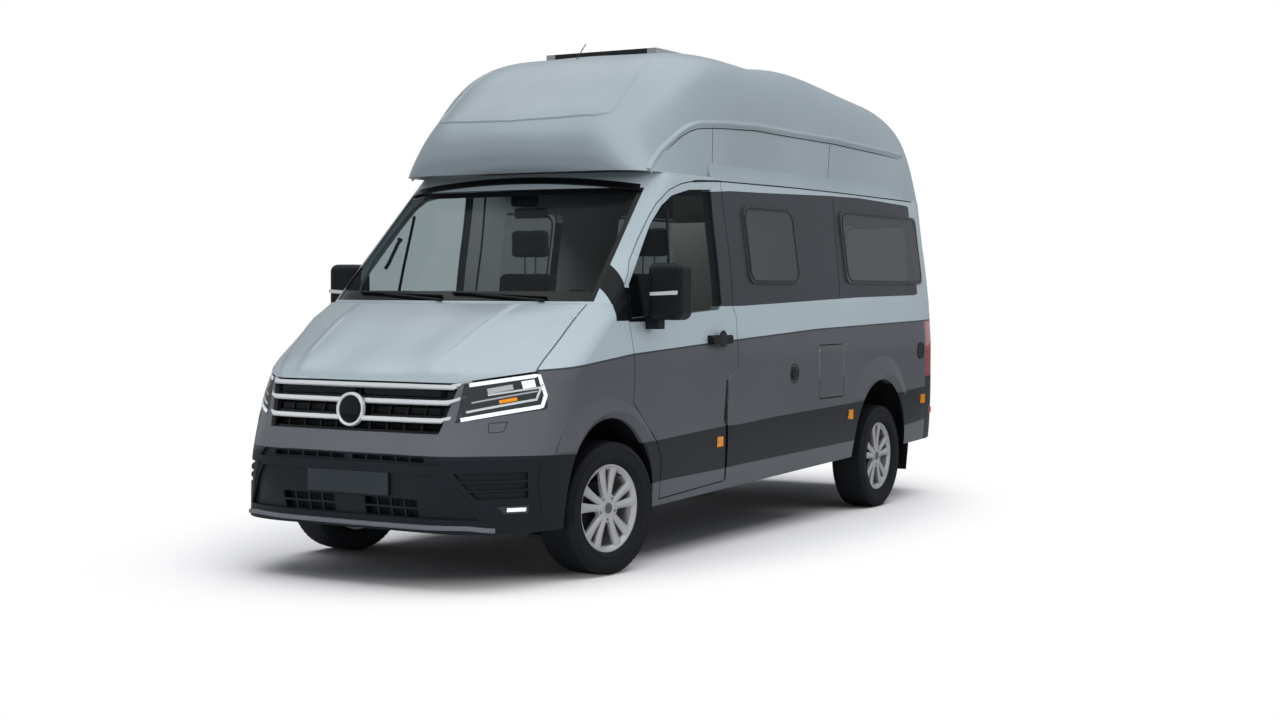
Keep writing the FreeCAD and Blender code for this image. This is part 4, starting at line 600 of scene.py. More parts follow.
def world():
    """White where the camera looks, a dimmer soft sky for light and for reflections."""
    made = bpy.data.worlds.new("Studio")
    bpy.context.scene.world = made
    made.use_nodes = True
    tree = made.node_tree
    tree.nodes.clear()
    path = tree.nodes.new("ShaderNodeLightPath")
    seen = tree.nodes.new("ShaderNodeMath")
    seen.operation = "MAXIMUM"
    tree.links.new(path.outputs["Is Camera Ray"], seen.inputs[0])
    tree.links.new(path.outputs["Is Transmission Ray"], seen.inputs[1])
    soft, white = tree.nodes.new("ShaderNodeBackground"), tree.nodes.new("ShaderNodeBackground")
    soft.inputs[0].default_value, soft.inputs[1].default_value = (0.93, 0.96, 1.0, 1), 0.42
    white.inputs[0].default_value, white.inputs[1].default_value = (1, 1, 1, 1), 1.0
    mix = tree.nodes.new("ShaderNodeMixShader")
    out = tree.nodes.new("ShaderNodeOutputWorld")
    tree.links.new(seen.outputs[0], mix.inputs[0])
    tree.links.new(soft.outputs[0], mix.inputs[1])
    tree.links.new(white.outputs[0], mix.inputs[2])
    tree.links.new(mix.outputs[0], out.inputs[0])


def floor():
    """Pale floor that keeps the van's shadow and runs out to white."""
    g = Graph("Studio floor")
    x, y, _ = g.axes()
    across = g.math("DIVIDE", g.math("SUBTRACT", x, -0.35), 2.2)
    along = g.math("DIVIDE", g.math("SUBTRACT", y, 0.2), 3.9)
    far = g.math("SQRT", g.math("ADD", g.both(across, across), g.both(along, along)))
    fade = g.node("ShaderNodeMapRange", {"Value": far, "From Min": 0.72, "From Max": 1.12},
                  interpolation_type="SMOOTHSTEP").outputs[0]
    seen = g.node("ShaderNodeLightPath").outputs["Is Camera Ray"]
    grain = g.noise(2.0)
    pale = g.node("ShaderNodeBsdfDiffuse", {"Color": g.mix(grain, (0.60, 0.60, 0.61, 1), (0.64, 0.64, 0.65, 1))})
    dull = g.node("ShaderNodeBsdfDiffuse", {"Color": g.mix(grain, (0.26, 0.26, 0.27, 1), (0.30, 0.30, 0.31, 1))})
    glow = g.node("ShaderNodeEmission", {"Color": (1, 1, 1, 1), "Strength": 1.0})
    shown = g.node("ShaderNodeMixShader", {0: fade, 1: pale.outputs[0], 2: glow.outputs[0]})
    both = g.node("ShaderNodeMixShader", {0: seen, 1: dull.outputs[0], 2: shown.outputs[0]})
    mesh = bpy.data.meshes.new("Floor")
    mesh.from_pydata([(-60, -60, 0), (60, -60, 0), (60, 60, 0), (-60, 60, 0)], [], [(0, 1, 2, 3)])
    made = bpy.data.objects.new("Floor", mesh)
    mesh.materials.append(g.output(both))
    bpy.context.scene.collection.objects.link(made)
    return made


def lit_by(lamp, only=(), apart_from=()):
    """Limit which objects a lamp reaches."""
    group = bpy.data.collections.new(lamp.name + " reach")
    for obj in (*only, *apart_from):
        group.objects.link(obj)
    lamp.light_linking.receiver_collection = group
    for item in group.collection_objects:
        item.light_linking.link_state = "EXCLUDE" if apart_from else "INCLUDE"


camera()
world()
ground = floor()
lit_by(area_light("Floor light", (0.5, 0.0, 8.5), (0, 0, 1), (13, 15), 2000, mirrored_by_van=False), only=[ground])
area_light("Overhead", (0.5, 0.0, 8.5), (0, 0, 1), (13, 15), 380)
for name, place, aim, size, watts, spread in (
        ("Front side", (3.0, -11.0, 6.0), (0, -1.5, 1.2), (7, 4), 200, 180),
        ("Front low", (0.8, -8.5, 0.6), (0.1, -2.6, 0.7), (4, 0.6), 14, 25),
        ("Left side", (10.0, 1.0, 4.5), (0, 0.5, 1.2), (10, 4), 400, 180),
        ("Cab", (0.0, -0.2, 2.1), (0, -0.6, 1.0), (1.0, 1.2), 9, 180)):
    area_light(name, place, aim, size, watts, mirrored_by_van=False, spread=spread)
for name in ("Overhead", "Front side", "Front low", "Left side", "Cab"):
    lit_by(bpy.data.objects[name], apart_from=[ground])
bpy.context.scene.view_settings.view_transform = "Standard"


# the skins that pieces lie on
SIDE = surface("side_wall_left", "door_front_left", "fenders", "front_fascia", "front_bumper", "service_flap")
SIDE_RIGHT = surface("side_wall_right", "door_front_right", "fenders", "front_fascia", "front_bumper", "sliding_door")
SKINS = {1: SIDE, -1: SIDE_RIGHT}
ROOF = surface("high_roof")
FRONT = surface("front_bumper", "front_fascia", "bonnet", "fenders", "head_lamps")
FRONT_SHELL = surface("front_bumper", "front_fascia", "grille")
GRILLE = surface("grille")
STRIPS = surface("grille_strips")
LAMPS = surface("head_lamps")
SCREEN = surface("windscreen", "windscreen_frame")
SCREEN_AND_COWL = surface("windscreen", "windscreen_frame", "cowl")
BONNET = surface("bonnet")
WINDOWS = surface("side_windows")
REAR = surface("door_rear_left", "door_rear_right", "rear_bumper", "side_wall_left", "side_wall_right", "high_roof",
               "tail_lamps")


def both_sides(make, *args):
    """The same piece on the left and on the right."""
    for side, end in SIDES:
        make(side, end, *args)


def ridge_section(width, high, sink=0.0015, count=9):
    """A soft rounded ridge."""
    top = [(width * (k / (count - 1) - 0.5), -sink + (high + sink) * math.sin(math.pi * k / (count - 1)) ** 2)
           for k in range(count)]
    return top + [(width / 2, -sink - 0.002), (-width / 2, -sink - 0.002)]


# sides and roof
WALL_TOP = 2.185


def roof_moulding(side, end):
    """Long rounded moulding along the roof, with a thin dark strip under it as painted shade."""
    arc = [(0.60, 2.19), (0.70, 2.262), (0.78, 2.32), (0.857, 2.367), (0.96, 2.427), (1.07, 2.471), (1.16, 2.492),
           (1.247, 2.503), (1.50, 2.522), (1.96, 2.543), (2.46, 2.540), (3.145, 2.542), (3.89, 2.526), (4.329, 2.511)]
    spots, ups = side_line(ROOF, from_axle(arc), 120, side)
    strip("roof_moulding_" + end, spots, ups, ridge_section(0.052, 0.012), PAINT_ROOF)
    # painted shade: a thin dark rubber strip just under the moulding
    under = [spot - Vector((0, 0, 0.030)) for spot in spots[4:]]
    strip("roof_moulding_gap_" + end, under, ups[4:], flat_section(0.005, 0.0045, 0.004), RUBBER)


def roof_shoulder(side, end):
    """Soft cove that closes the ledge between the top of the wall and the waisted foot of the roof."""
    points, stations, size = [], 80, 10
    for k in range(stations):
        y = AXLE + 0.95 + 3.40 * k / (stations - 1)
        full = min(1.0, k / 8, (stations - 1 - k) / 8)
        rise = 0.012 + 0.078 * full * full * (3 - 2 * full)
        wall, _ = from_side(SKINS[side], y, WALL_TOP - 0.007, side)
        roof, _ = from_side(ROOF, y, WALL_TOP + 0.001 + rise, side)
        if wall is None or roof is None:
            continue
        for part in range(7):
            t = part / 6
            x = wall.x + (roof.x - wall.x) * (1 - (1 - t) ** 2) + side * 0.0015
            points.append(Vector((x, y, WALL_TOP - 0.004 + (rise + 0.005) * t * t)))
        points += [Vector((roof.x - side * 0.004, y, WALL_TOP + 0.001 + rise)),
                   Vector((roof.x - side * 0.004, y, WALL_TOP - 0.005)),
                   Vector((wall.x - side * 0.003, y, WALL_TOP - 0.007))]
    rings = len(points) // size
    faces = [[i * size + j, i * size + (j + 1) % size, (i + 1) * size + (j + 1) % size, (i + 1) * size + j]
             for i in range(rings - 1) for j in range(size)]
    faces += [list(range(size)), list(range((rings - 1) * size, rings * size))]
    piece("roof_shoulder_" + end, points, faces, PAINT_ROOF, angle=60)


def roof_seams(side, end):
    for number, y in enumerate((1.36, 3.05)):
        spots, ups = side_line(ROOF, from_axle([(y, 2.20), (y, 2.50)]), 24, side)
        strip("roof_seam_%s_%d" % (end, number + 1), spots, ups, flat_section(0.004, 0.0012, 0.003), STEEL)


def roof_front_panel():
    """Bead round the raised front panel of the high roof."""
    half = [(0.53, 0.545, 2.488), (0.585, 0.585, 2.507), (0.603, 0.66, 2.56), (0.60, 0.86, 2.70), (0.57, 1.10, 2.83)]
    outline = [(-x, y, z) for x, y, z in reversed(half)] + [(0.0, 0.47, 2.475)] + half
    hits = []
    for p in lines(outline, 160):
        start = Vector((p.x, AXLE + 1.6, 1.9))
        way = (Vector((p.x, AXLE + p.y, p.z)) - start).normalized()
        hits.append(cast(ROOF, start + way * 2.2, -way))
    strip("roof_front_bead", *laid(hits), ridge_section(0.030, 0.007), PAINT_ROOF)


def roof_lip():
    """Painted shade: a glossy black strip under the front lip, standing in for the shaded gap between the lip and the
    windscreen.
    """
    arch = [(-0.80 + 1.60 * k / 80, -0.055 * (-1 + 2 * k / 80) ** 2) for k in range(81)]
    strip("lip_seal", *laid(from_front(SCREEN, x, WALL_TOP - 0.041 + drop) for x, drop in arch),
          flat_section(0.055, 0.006), GLOSS_BLACK)


def gutter(side, end):
    drawn = [(0.70, 2.068), (0.746, 2.095), (0.90, 2.130), (1.062, 2.149), (1.363, 2.166), (2.388, 2.178),
             (3.069, 2.180), (4.416, 2.176)]
    side_strip("gutter_" + end, SKINS[side], from_axle(drawn), 0.007, 0.003, RUBBER, side, 90, sink=0.003)


def film_seams(side, end):
    side_strip("film_seam_" + end, SKINS[side], from_axle([(2.982, 2.13), (2.982, 2.056), (2.929, 1.466)]), 0.004,
               0.0012, RUBBER, side, 30)


def rounded_box(y0, y1, z0, z1, corner, count=7):
    """Outline with round corners, as (y, z) spots."""
    spots = []
    for cy, cz, start in ((y1 - corner, z1 - corner, 0), (y0 + corner, z1 - corner, 90),
                          (y0 + corner, z0 + corner, 180), (y1 - corner, z0 + corner, 270)):
        for k in range(count):
            turn = math.radians(start + 90 * k / (count - 1))
            spots.append((cy + corner * math.cos(turn), cz + corner * math.sin(turn)))
    return spots


def window_frame(side, end, name, low, high):
    """Black rounded frame round a hinged pane."""
    outline = rounded_box(AXLE + low[0], AXLE + high[0], low[1], high[1], 0.075)
    middle_y, middle_z = AXLE + (low[0] + high[0]) / 2, (low[1] + high[1]) / 2
    spots, ups = laid(from_side(WINDOWS, p.y + (middle_y - p.y) * 0.035, p.z + (middle_z - p.z) * 0.05, side)
                      for p in lines([(0, y, z) for y, z in outline], 150, True))
    strip("window_frame_%s_%s" % (name, end), spots, ups, flat_section(0.016, 0.003), GLOSS_BLACK, True)


def door_details(side, end):
    """Door handle, amber marker and lock."""
    skin, body = SKINS[side], "b_door_front_" + end
    low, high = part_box("door_front_" + end)
    face = high.x if side > 0 else low.x
    outline = rounded_box(AXLE + 1.028, AXLE + 1.278, 1.204, 1.256, 0.024, 6)
    disc_on_side("handle_cup_" + end, skin, 1.152, 1.234, 0.050, 0.004, STEEL, side, body=body, slot="black_plastic")
    plate("handle_grip_" + end, [(face - side * 0.002, y, z) for y, z in outline], 0.006, BLACK, normal=(side, 0, 0),
          body=body)
    side_strip("door_marker_" + end, skin, from_axle([(1.146, 0.629), (1.21, 0.629)]), 0.06, 0.008, AMBER, side, 12,
               body=body)
    side_strip("lock_" + end, skin, from_axle([(1.318, 1.228), (1.342, 1.228)]), 0.024, 0.003, STEEL, side, 6,
               body=body)


def mirror_details(side, end):
    """Bright turn-signal strip and the glass of the door mirror."""
    body = "b_door_front_" + end
    strip_spots = ((1.03, 1.487), (1.198, 1.493), (1.203, 1.507), (1.198, 1.515), (1.03, 1.505))
    glass_spots = [(1.11 + 0.082 * c, 1.51 + 0.135 * s) for c, s in superellipse(28)]
    for name, spots, y, thick, way in (("mirror_signal_", strip_spots, 0.2705, 0.004, -1),
                                       ("mirror_glass_", glass_spots, 0.4395, 0.003, 1)):
        plate(name + end, [(side * x, AXLE + y, z) for x, z in spots], thick, CHROME, 0.001, (0, way, 0), body=body)


def superellipse(count, power=0.45):
    """Points of a rounded square of half size 1."""
    spots = []
    for k in range(count):
        turn = 2 * math.pi * k / count
        c, s = math.cos(turn), math.sin(turn)
        spots.append((math.copysign(abs(c) ** power, c), math.copysign(abs(s) ** power, s)))
    return spots


def left_fittings():
    """Round water cap and oval inlet, each in a thin ring."""
    disc_on_side("water_cap", SIDE, 2.187, 0.992, 0.046, 0.006, BLACK, 1)
    ring = [(2.187 + 0.060 * math.cos(a), 0.992 + 0.060 * math.sin(a)) for a in [math.pi * k / 16 for k in range(32)]]
    side_strip("water_cap_ring", SIDE, from_axle(ring), 0.005, 0.003, RUBBER, 1, 64, True)
    oval = rounded_box(AXLE + 4.279, AXLE + 4.417, 1.023, 1.139, 0.045)
    side_strip("inlet_ring", SIDE, oval, 0.006, 0.004, RUBBER, 1, 70, True)
    _, out = from_side(SIDE, AXLE + 4.348, 1.081, 1)
    flap = rounded_box(AXLE + 4.285, AXLE + 4.411, 1.029, 1.133, 0.042)
    plate("inlet_flap", [from_side(SIDE, y, z, 1, -0.001)[0] for y, z in flap], 0.004, BLACK, 0.003, out)


both_sides(roof_moulding)
both_sides(roof_shoulder)
both_sides(roof_seams)
roof_front_panel()
roof_lip()
both_sides(gutter)
both_sides(film_seams)
both_sides(window_frame, "middle", (1.612, 1.560), (2.306, 2.030))
both_sides(window_frame, "rear", (3.050, 1.569), (4.440, 2.056))
both_sides(door_details)
both_sides(mirror_details)
left_fittings()


# front of the van
def shade_backing(name, half, z0, z1, back):
    """Painted shade: a dark curved screen some way behind an opening, standing in for the shade behind it so no inside
    shows through it.
    """
    columns, rows = 40, 8
    points = []
    for row in range(rows + 1):
        z = z0 + (z1 - z0) * row / rows
        for column in range(columns + 1):
            x = -half + 2 * half * column / columns
            spot, _ = from_front(FRONT_SHELL, x, z)
            points.append(Vector((x, (spot.y if spot is not None else AXLE - 1.0) + back, z)))
    corners = [row * (columns + 1) + column for row in range(rows) for column in range(columns)]
    made = piece(name, points, [[a, a + 1, a + columns + 2, a + columns + 1] for a in corners], RUBBER)
    made.modifiers.new("Thickness", "SOLIDIFY").thickness = 0.004


def emblem():
    """Plain round plate with a bright rim where the grille carries one."""
    centre, _ = from_front(GRILLE, 0.0, 0.862)
    centre = Vector((0, centre.y - 0.026, 0.905))
    out = Vector((0, -0.995, 0.10)).normalized()
    place, count, middle = standing(centre, out), 64, 0.006
    profile = [(0.060, middle), (0.071, 0.003), (0.074, 0.009), (0.079, 0.012), (0.085, 0.009), (0.088, 0.0),
               (0.088, -0.012)]
    points, sides = turned(profile, count, place)
    faces = [[0, 1 + k, 1 + (k + 1) % count] for k in range(count)] + [[i + 1 for i in face] for face in sides]
    faces.append([1 + (len(profile) - 1) * count + k for k in range(count)])
    made = piece("round_emblem_blank", [place @ Vector((0, 0, middle))] + points, faces, CHROME)
    made.data.materials.append(GLOSS_BLACK)
    for face in made.data.polygons:
        flat = Vector(face.center) - centre
        if flat.cross(out).length < 0.070 and flat.dot(out) > 0:
            face.material_index = 1


def plate_blank():
    """Plain dark plate with a thin frame, no words."""
    spot, _ = from_front(FRONT_SHELL, 0.0, 0.537)
    y = spot.y - 0.004
    outline = [(-0.262, 0.480), (0.262, 0.480), (0.262, 0.594), (-0.262, 0.594)]
    plate("number_plate_blank", [(x, y, z) for x, z in outline], 0.008, PLATE, 0.0015, (0, -1, 0.05))
    edge = [(-0.264, 0.478), (0.264, 0.478), (0.264, 0.596), (-0.264, 0.596)]
    places = lines([(x, y - 0.004, z) for x, z in edge], 80, True)
    strip("plate_frame", places, [Vector((0, -1, 0))] * len(places), flat_section(0.006, 0.005, 0.004), BLACK, True)


def chrome_strips():
    """Thin lower lip on each strip and the kinked ends that run on to the lamps."""
    knees = (((0.545, -0.952, 0.868), (0.575, -0.945, 0.873), (0.622, -0.892, 0.892)),
             ((0.555, -0.932, 0.955), (0.590, -0.922, 0.961), (0.630, -0.868, 0.983)),
             ((0.565, -0.898, 1.034), (0.600, -0.884, 1.041), (0.640, -0.832, 1.058)))
    for number, (z, half) in enumerate(((0.866, 0.559), (0.954, 0.578), (1.031, 0.594))):
        places, ups = front_line(STRIPS, [(-half + 0.01, z), (half - 0.01, z)], 60)
        lowered = [p + Vector((0, 0, -0.0125)) for p in places]
        strip("strip_lip_%d" % (number + 1), lowered, ups, flat_section(0.005, 0.003, 0.010), ALLOY)
    for number, knee in enumerate(knees):
        for side, end in SIDES:
            places = lines([(side * x, AXLE + y, z) for x, y, z in knee], 14)
            ups = [Vector((side * 0.45, -0.89, 0.1)).normalized()] * len(places)
            strip("strip_end_%s_%d" % (end, number + 1), places, ups, flat_section(0.016, 0.004, 0.006), CHROME)


LAMP_CORNERS = [Vector((0.622, 0, 0.853)), Vector((0.925, 0, 0.916)), Vector((0.634, 0, 1.050)),
                Vector((0.935, 0, 1.108))]


def lamp_line(side, drawn, count, lift):
    """Spots as shares across and up the head lamp, laid on its lens."""
    inner_low, outer_low, inner_top, outer_top = LAMP_CORNERS
    hits = []
    for share in lines([(across, 0, up) for across, up in drawn], count):
        p = inner_low.lerp(outer_low, share.x).lerp(inner_top.lerp(outer_top, share.x), share.z)
        hits.append(from_front(LAMPS, side * p.x, p.z, lift))
    return laid(hits)


def head_lamp(side, end):
    """Light guide round the lamp, projector, reflectors and amber turn lamp inside the lens."""
    for name, drawn, count, lift, width, look, slot in (
            ("guide", [(0.03, 0.93), (0.965, 0.93), (0.96, 0.08), (0.03, 0.06)], 70, 0.0012, 0.020, WHITE,
             "chrome_trim"),
            ("inner_guide", [(0.08, 0.24), (0.88, 0.29), (0.89, 0.80)], 60, 0.0010, 0.012, CHROME, None),
            ("bar", [(0.30, 0.60), (0.92, 0.60)], 16, 0.0008, 0.010, CHROME, None),
            ("shelf", [(0.12, 0.46), (0.86, 0.51)], 16, 0.0008, 0.008, ALLOY, None),
            ("turn", [(0.46, 0.37), (0.66, 0.385)], 16, 0.0008, 0.018, AMBER, None),
            ("projector", [(0.66, 0.73), (0.80, 0.74)], 16, 0.0008, 0.040, WHITE, None),
            ("reflector", [(0.28, 0.70), (0.56, 0.72)], 16, 0.0008, 0.028, ALLOY, None)):
        strip("lamp_%s_%s" % (name, end), *lamp_line(side, drawn, count, lift), flat_section(width, 0.003, 0.004),
              look, slot=slot)


def front_strips(side, end):
    """Washer flap, light bar of the fog lamp, and the bar and groove beside the air intake."""
    washer = [(0.744, 0.850), (0.813, 0.857), (0.805, 0.812), (0.790, 0.806), (0.752, 0.804)]
    for name, skin, drawn, width, high, look, count, closed in (
            ("washer_flap_", FRONT, washer, 0.0035, 0.0012, STEEL, 50, True),
            ("fog_light_", LAMPS, [(0.838, 0.421), (0.890, 0.419)], 0.020, 0.002, WHITE, 12, False),
            ("intake_bar_", FRONT, [(0.592, 0.604), (0.628, 0.560), (0.747, 0.378)], 0.026, 0.006, BUMPER, 40, False),
            ("corner_groove_", FRONT, [(0.930, 0.625), (0.926, 0.50), (0.926, 0.385)], 0.006, 0.0015, RUBBER, 30,
             False)):
        front_strip(name + end, skin, [(side * x, z) for x, z in drawn], width, high, look, count, closed)


def bumper_lip():
    """Grey spoiler lip along the lower edge of the bumper."""
    half = [(0.476, 0.329), (0.69, 0.332), (0.80, 0.3195)]
    drawn = [(-x, z) for x, z in reversed(half)] + [(0.0, 0.327)] + half
    section = [(-0.014, -0.004), (-0.011, 0.007), (0.0, 0.012), (0.011, 0.009), (0.014, -0.004)]
    strip("bumper_lip", *front_line(FRONT, drawn, 120), section, LIP)


def bonnet_creases():
    """Two pairs of long soft ridges pressed into the bonnet, sinking away at their ends."""
    profile = [(-0.034, -0.003), (-0.026, 0.0002), (-0.014, 0.0022), (-0.004, 0.0058), (0.002, 0.0066),
               (0.010, 0.0048), (0.022, 0.0014), (0.034, -0.003)]
    sections = {1: profile, -1: [(-a, u) for a, u in reversed(profile)]}
    for number, drawn in enumerate((((0.520, -0.36), (0.486, -0.60), (0.446, -0.867)),
                                    ((0.842, -0.20), (0.745, -0.46), (0.585, -0.850)))):
        for side, end in SIDES:
            along = lines([(side * x, AXLE + y, 0) for x, y in drawn], 60)
            spots, ups = laid(cast(BONNET, (p.x, p.y, 6), (0, 0, -1)) for p in along)
            points, faces = swept(spots, ups, sections[side])
            size = len(profile)
            for i, spot in enumerate(spots):
                fade = min(1.0, min(i, len(spots) - 1 - i) / 14)
                for k in range(i * size, (i + 1) * size):
                    rise = (points[k] - spot).dot(ups[i])
                    points[k] = points[k] - ups[i] * ((rise + 0.002) * (1 - fade))
            piece("bonnet_crease_%s_%d" % (end, number + 1), points, faces, PAINT_BONNET, "b_bonnet")


def wiper(end, foot, tip, blade):
    """Arm from the cowl and its blade on the windscreen."""
    for name, ends, width, high in (("wiper_arm_", (foot, tip), 0.014, 0.010), ("wiper_blade_", blade, 0.008, 0.012)):
        places, ups = front_line(SCREEN_AND_COWL, ends, 40)
        strip(name + end, [p + up * 0.006 for p, up in zip(places, ups)], ups, flat_section(width, high, 0.001), BLACK)


def screen_border():
    """Black printed border inside the edge of the windscreen."""
    edge = [(-0.862, 1.462), (0.862, 1.462), (0.80, 2.068), (-0.80, 2.068)]
    front_strip("screen_border", SCREEN, edge, 0.045, 0.0012, GLOSS_BLACK, 200, True, sink=0.001)
    front_strip("screen_foot", SCREEN, [(-0.84, 1.490), (0.84, 1.490)], 0.05, 0.0014, GLOSS_BLACK, 90, sink=0.001)


emblem()
plate_blank()
chrome_strips()
both_sides(head_lamp)
both_sides(front_strips)
bumper_lip()
bonnet_creases()
screen_border()
wiper("left", (0.62, 1.452), (0.18, 1.485), ((0.62, 1.47), (0.02, 1.492)))
wiper("right", (-0.02, 1.452), (-0.46, 1.485), ((-0.04, 1.475), (-0.66, 1.492)))
# painted shade: dark screens behind the grille and the air intake
shade_backing("grille_shade_screen", 0.60, 0.80, 1.04, 0.075)
shade_backing("intake_shade_screen", 0.62, 0.36, 0.69, 0.060)


# wheels
TYRE_R = 0.357
HUB_FACE, CAP_FACE = 0.080, 0.084
STUD_CIRCLE = 0.060
TREAD_BLOCKS = 66


def wheel_frame(joint_name):
    """Matrix of a wheel from its spin joint, with Z out of the van."""
    joint = next(j for j in frame["joints"] if j["name"] == joint_name)
    centre, out = Vector(joint["pos_m"]), Vector(joint["axis"]).normalized()
    return standing(centre, -out if out.x * centre.x < 0 else out)


def tread(name, body, matrix):
    """Shoulder and centre blocks standing on the tyre's tread."""
    points, faces = [], []
    for low, high, shift in ((-0.100, -0.074, 0.5), (-0.062, -0.034, 0.0), (-0.022, 0.022, 0.5), (0.034, 0.062, 0.0),
                             (0.074, 0.100, 0.5)):
        drop = 0.004 if abs(low + high) > 0.15 else 0.0
        for k in range(TREAD_BLOCKS):
            a0 = 2 * math.pi * (k + shift) / TREAD_BLOCKS
            a1 = a0 + 2 * math.pi * 0.78 / TREAD_BLOCKS
            base = len(points)
            for r in (TYRE_R - 0.006 - drop, TYRE_R - 0.0004 - drop):
                for a, w in ((a0, low), (a1, low + 0.002), (a1, high), (a0, high - 0.002)):
                    points.append(matrix @ Vector((r * math.cos(a), r * math.sin(a), w)))
            faces += [[base + i for i in quad] for quad in
                      ((0, 1, 2, 3), (4, 5, 6, 7), (0, 1, 5, 4), (1, 2, 6, 5), (2, 3, 7, 6), (3, 0, 4, 7))]
    piece(name, points, faces, TYRE, body, smooth=False)


def bolt_heads(name, body, matrix):
    points, faces = [], []
    for k in range(5):
        a = 2 * math.pi * (k + 0.5) / 5
        turn = matrix @ Matrix.Translation((STUD_CIRCLE * math.sin(a), STUD_CIRCLE * math.cos(a), HUB_FACE))
        more, sides = closed_turned([(0.0082, -0.009), (0.0082, 0.002), (0.0062, 0.004)], 6, turn)
        faces += [[i + len(points) for i in f] for f in sides]
        points += more
    piece(name, points, faces, BRIGHT_STEEL, body, smooth=False)


def spoke_faces(name, body, matrix):
    """Broad ridged faces of the ten spokes, flaring towards the rim."""
    points, faces = [], []
    rows = ((0.062, 0.017, 0.0765, 0.0825), (0.110, 0.019, 0.0750, 0.0815), (0.165, 0.023, 0.0752, 0.0820),
            (0.205, 0.027, 0.0790, 0.0850), (0.222, 0.031, 0.0830, 0.0870))
    for a in [math.radians(72 * k + turn) for k in range(5) for turn in (-13, 13)]:
        first = len(points)
        for r, half, low, top in rows:
            for w, h in ((-half, low - 0.012), (-half, low), (-half * 0.3, top), (half * 0.3, top), (half, low),
                         (half, low - 0.012)):
                place = Vector((r * math.sin(a) + w * math.cos(a), r * math.cos(a) - w * math.sin(a), h))
                points.append(matrix @ place)
        for i in range(first, first + 6 * (len(rows) - 1), 6):
            faces += [[i + j, i + (j + 1) % 6, i + 6 + (j + 1) % 6, i + 6 + j] for j in range(6)]
        faces += [[first + j for j in range(6)], [first + 6 * (len(rows) - 1) + j for j in range(6)]]
    piece(name, points, faces, ALLOY, body, "alloy", angle=20)


def wheel_details(label):
    """Tread blocks, side rings, cap, bolts, spoke faces and valve of one wheel."""
    body, matrix = "wheel_" + label, wheel_frame("spin_" + label)
    tread("tread_" + label, body, matrix)
    for number, (r, h) in enumerate(((0.262, 0.1150), (0.318, 0.1170))):
        profile = [(r - 0.004, h - 0.003), (r - 0.002, h + 0.0016), (r + 0.002, h + 0.0016), (r + 0.004, h - 0.003)]
        piece("tyre_ring_%s_%d" % (label, number + 1), *turned(profile, 96, matrix), TYRE, body)
    dome = [(0.0285, CAP_FACE - 0.004), (0.0285, CAP_FACE + 0.0006), (0.020, CAP_FACE + 0.0018),
            (0.006, CAP_FACE + 0.0024)]
    piece("wheel_cap_" + label, *closed_turned(dome, 40, matrix), CAP_GREY, body)
    bolt_heads("wheel_bolts_" + label, body, matrix)
    spoke_faces("spoke_faces_" + label, body, matrix)
    stem = matrix @ Matrix.Rotation(math.radians(55), 4, "Z") @ Matrix.Translation((0.203, 0, 0.052))
    valve = closed_turned([(0.004, -0.01), (0.004, 0.020), (0.003, 0.022)], 12, stem)
    piece("tyre_valve_" + label, *valve, RUBBER, body, "tyre_rubber")


for label in WHEELS:
    wheel_details(label)


# back of the van
def corners(x0, x1, z0, z1, cut):
    """Outline of a box with cut corners, as (x, z) spots."""
    return [(x0 + cut, z0), (x1 - cut, z0), (x1, z0 + cut), (x1, z1 - cut), (x1 - cut, z1), (x0 + cut, z1),
            (x0, z1 - cut), (x0, z0 + cut)]


def rear_plate(name, spots, thick, look, bevel=0.003, **more):
    """A thin plate lying on the back, drawn as (x, z) spots."""
    middle = sum((Vector((x, 0, z)) for x, z in spots), Vector()) / len(spots)
    back, _ = from_rear(REAR, middle.x, middle.z)
    plate(name, [(x, back.y - 0.002, z) for x, z in spots], thick + 0.002, look, bevel, **more)


def rear_window(side, end):
    low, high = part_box("rear_glass_" + end)
    glass = surface("rear_glass_" + end)
    edge = corners(low.x + 0.012, high.x - 0.012, low.z + 0.012, high.z - 0.012, 0.05)
    places, _ = laid(from_rear(glass, p.x, p.z) for p in lines([(x, 0, z) for x, z in edge], 72, True))
    strip("rear_window_seal_" + end, places, [Vector((0, 1, 0))] * len(places), flat_section(0.022, 0.006, 0.002),
          BLACK, True, body="b_door_rear_" + end)


def rear_details():
    """Plate and grip of the rear door's handle, and the lamp over the doors."""
    low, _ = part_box("door_rear_left")
    edge, body = low.x + 0.075, "b_door_rear_left"
    rear_plate("rear_handle_plate", corners(edge - 0.045, edge + 0.045, 1.02, 1.20, 0.02), 0.005, BLACK, body=body)
    rear_plate("rear_handle_grip", corners(edge - 0.016, edge + 0.016, 1.04, 1.18, 0.008), 0.020, BUMPER, 0.008,
               body=body)
    rear_plate("rear_top_lamp", corners(-0.14, 0.14, 2.30, 2.325, 0.008), 0.014, RED)


def reflectors(side, end):
    """Red reflectors on the rear bumper: one facing back and one facing sideways."""
    rear_plate("rear_reflector_" + end, corners(*sorted((side * 0.70, side * 0.80)), 0.52, 0.545, 0.006), 0.005, RED)
    spot, out = from_side(surface("rear_bumper", "side_wall_" + end), 2.667, 0.628, side)
    outline = [spot + Vector((0, a, b)) - out * 0.002
               for a, b in ((-0.036, -0.022), (0.036, -0.022), (0.036, 0.022), (-0.036, 0.022))]
    plate("side_reflector_" + end, outline, 0.006, RED, 0.003, out)


def tail_lamp_lights(side, end):
    """Turn and reversing lights in each tail lamp."""
    x0, x1 = sorted((side * 0.835, side * 0.925))
    for name, z0, z1, look in (("tail_turn_", 1.175, 1.225, AMBER), ("tail_reverse_", 1.075, 1.125, WHITE)):
        outline = [from_rear(REAR, x, z)[0] - Vector((0, 0.002, 0)) for x, z in corners(x0, x1, z0, z1, 0.01)]
        plate(name + end, outline, 0.005, look)


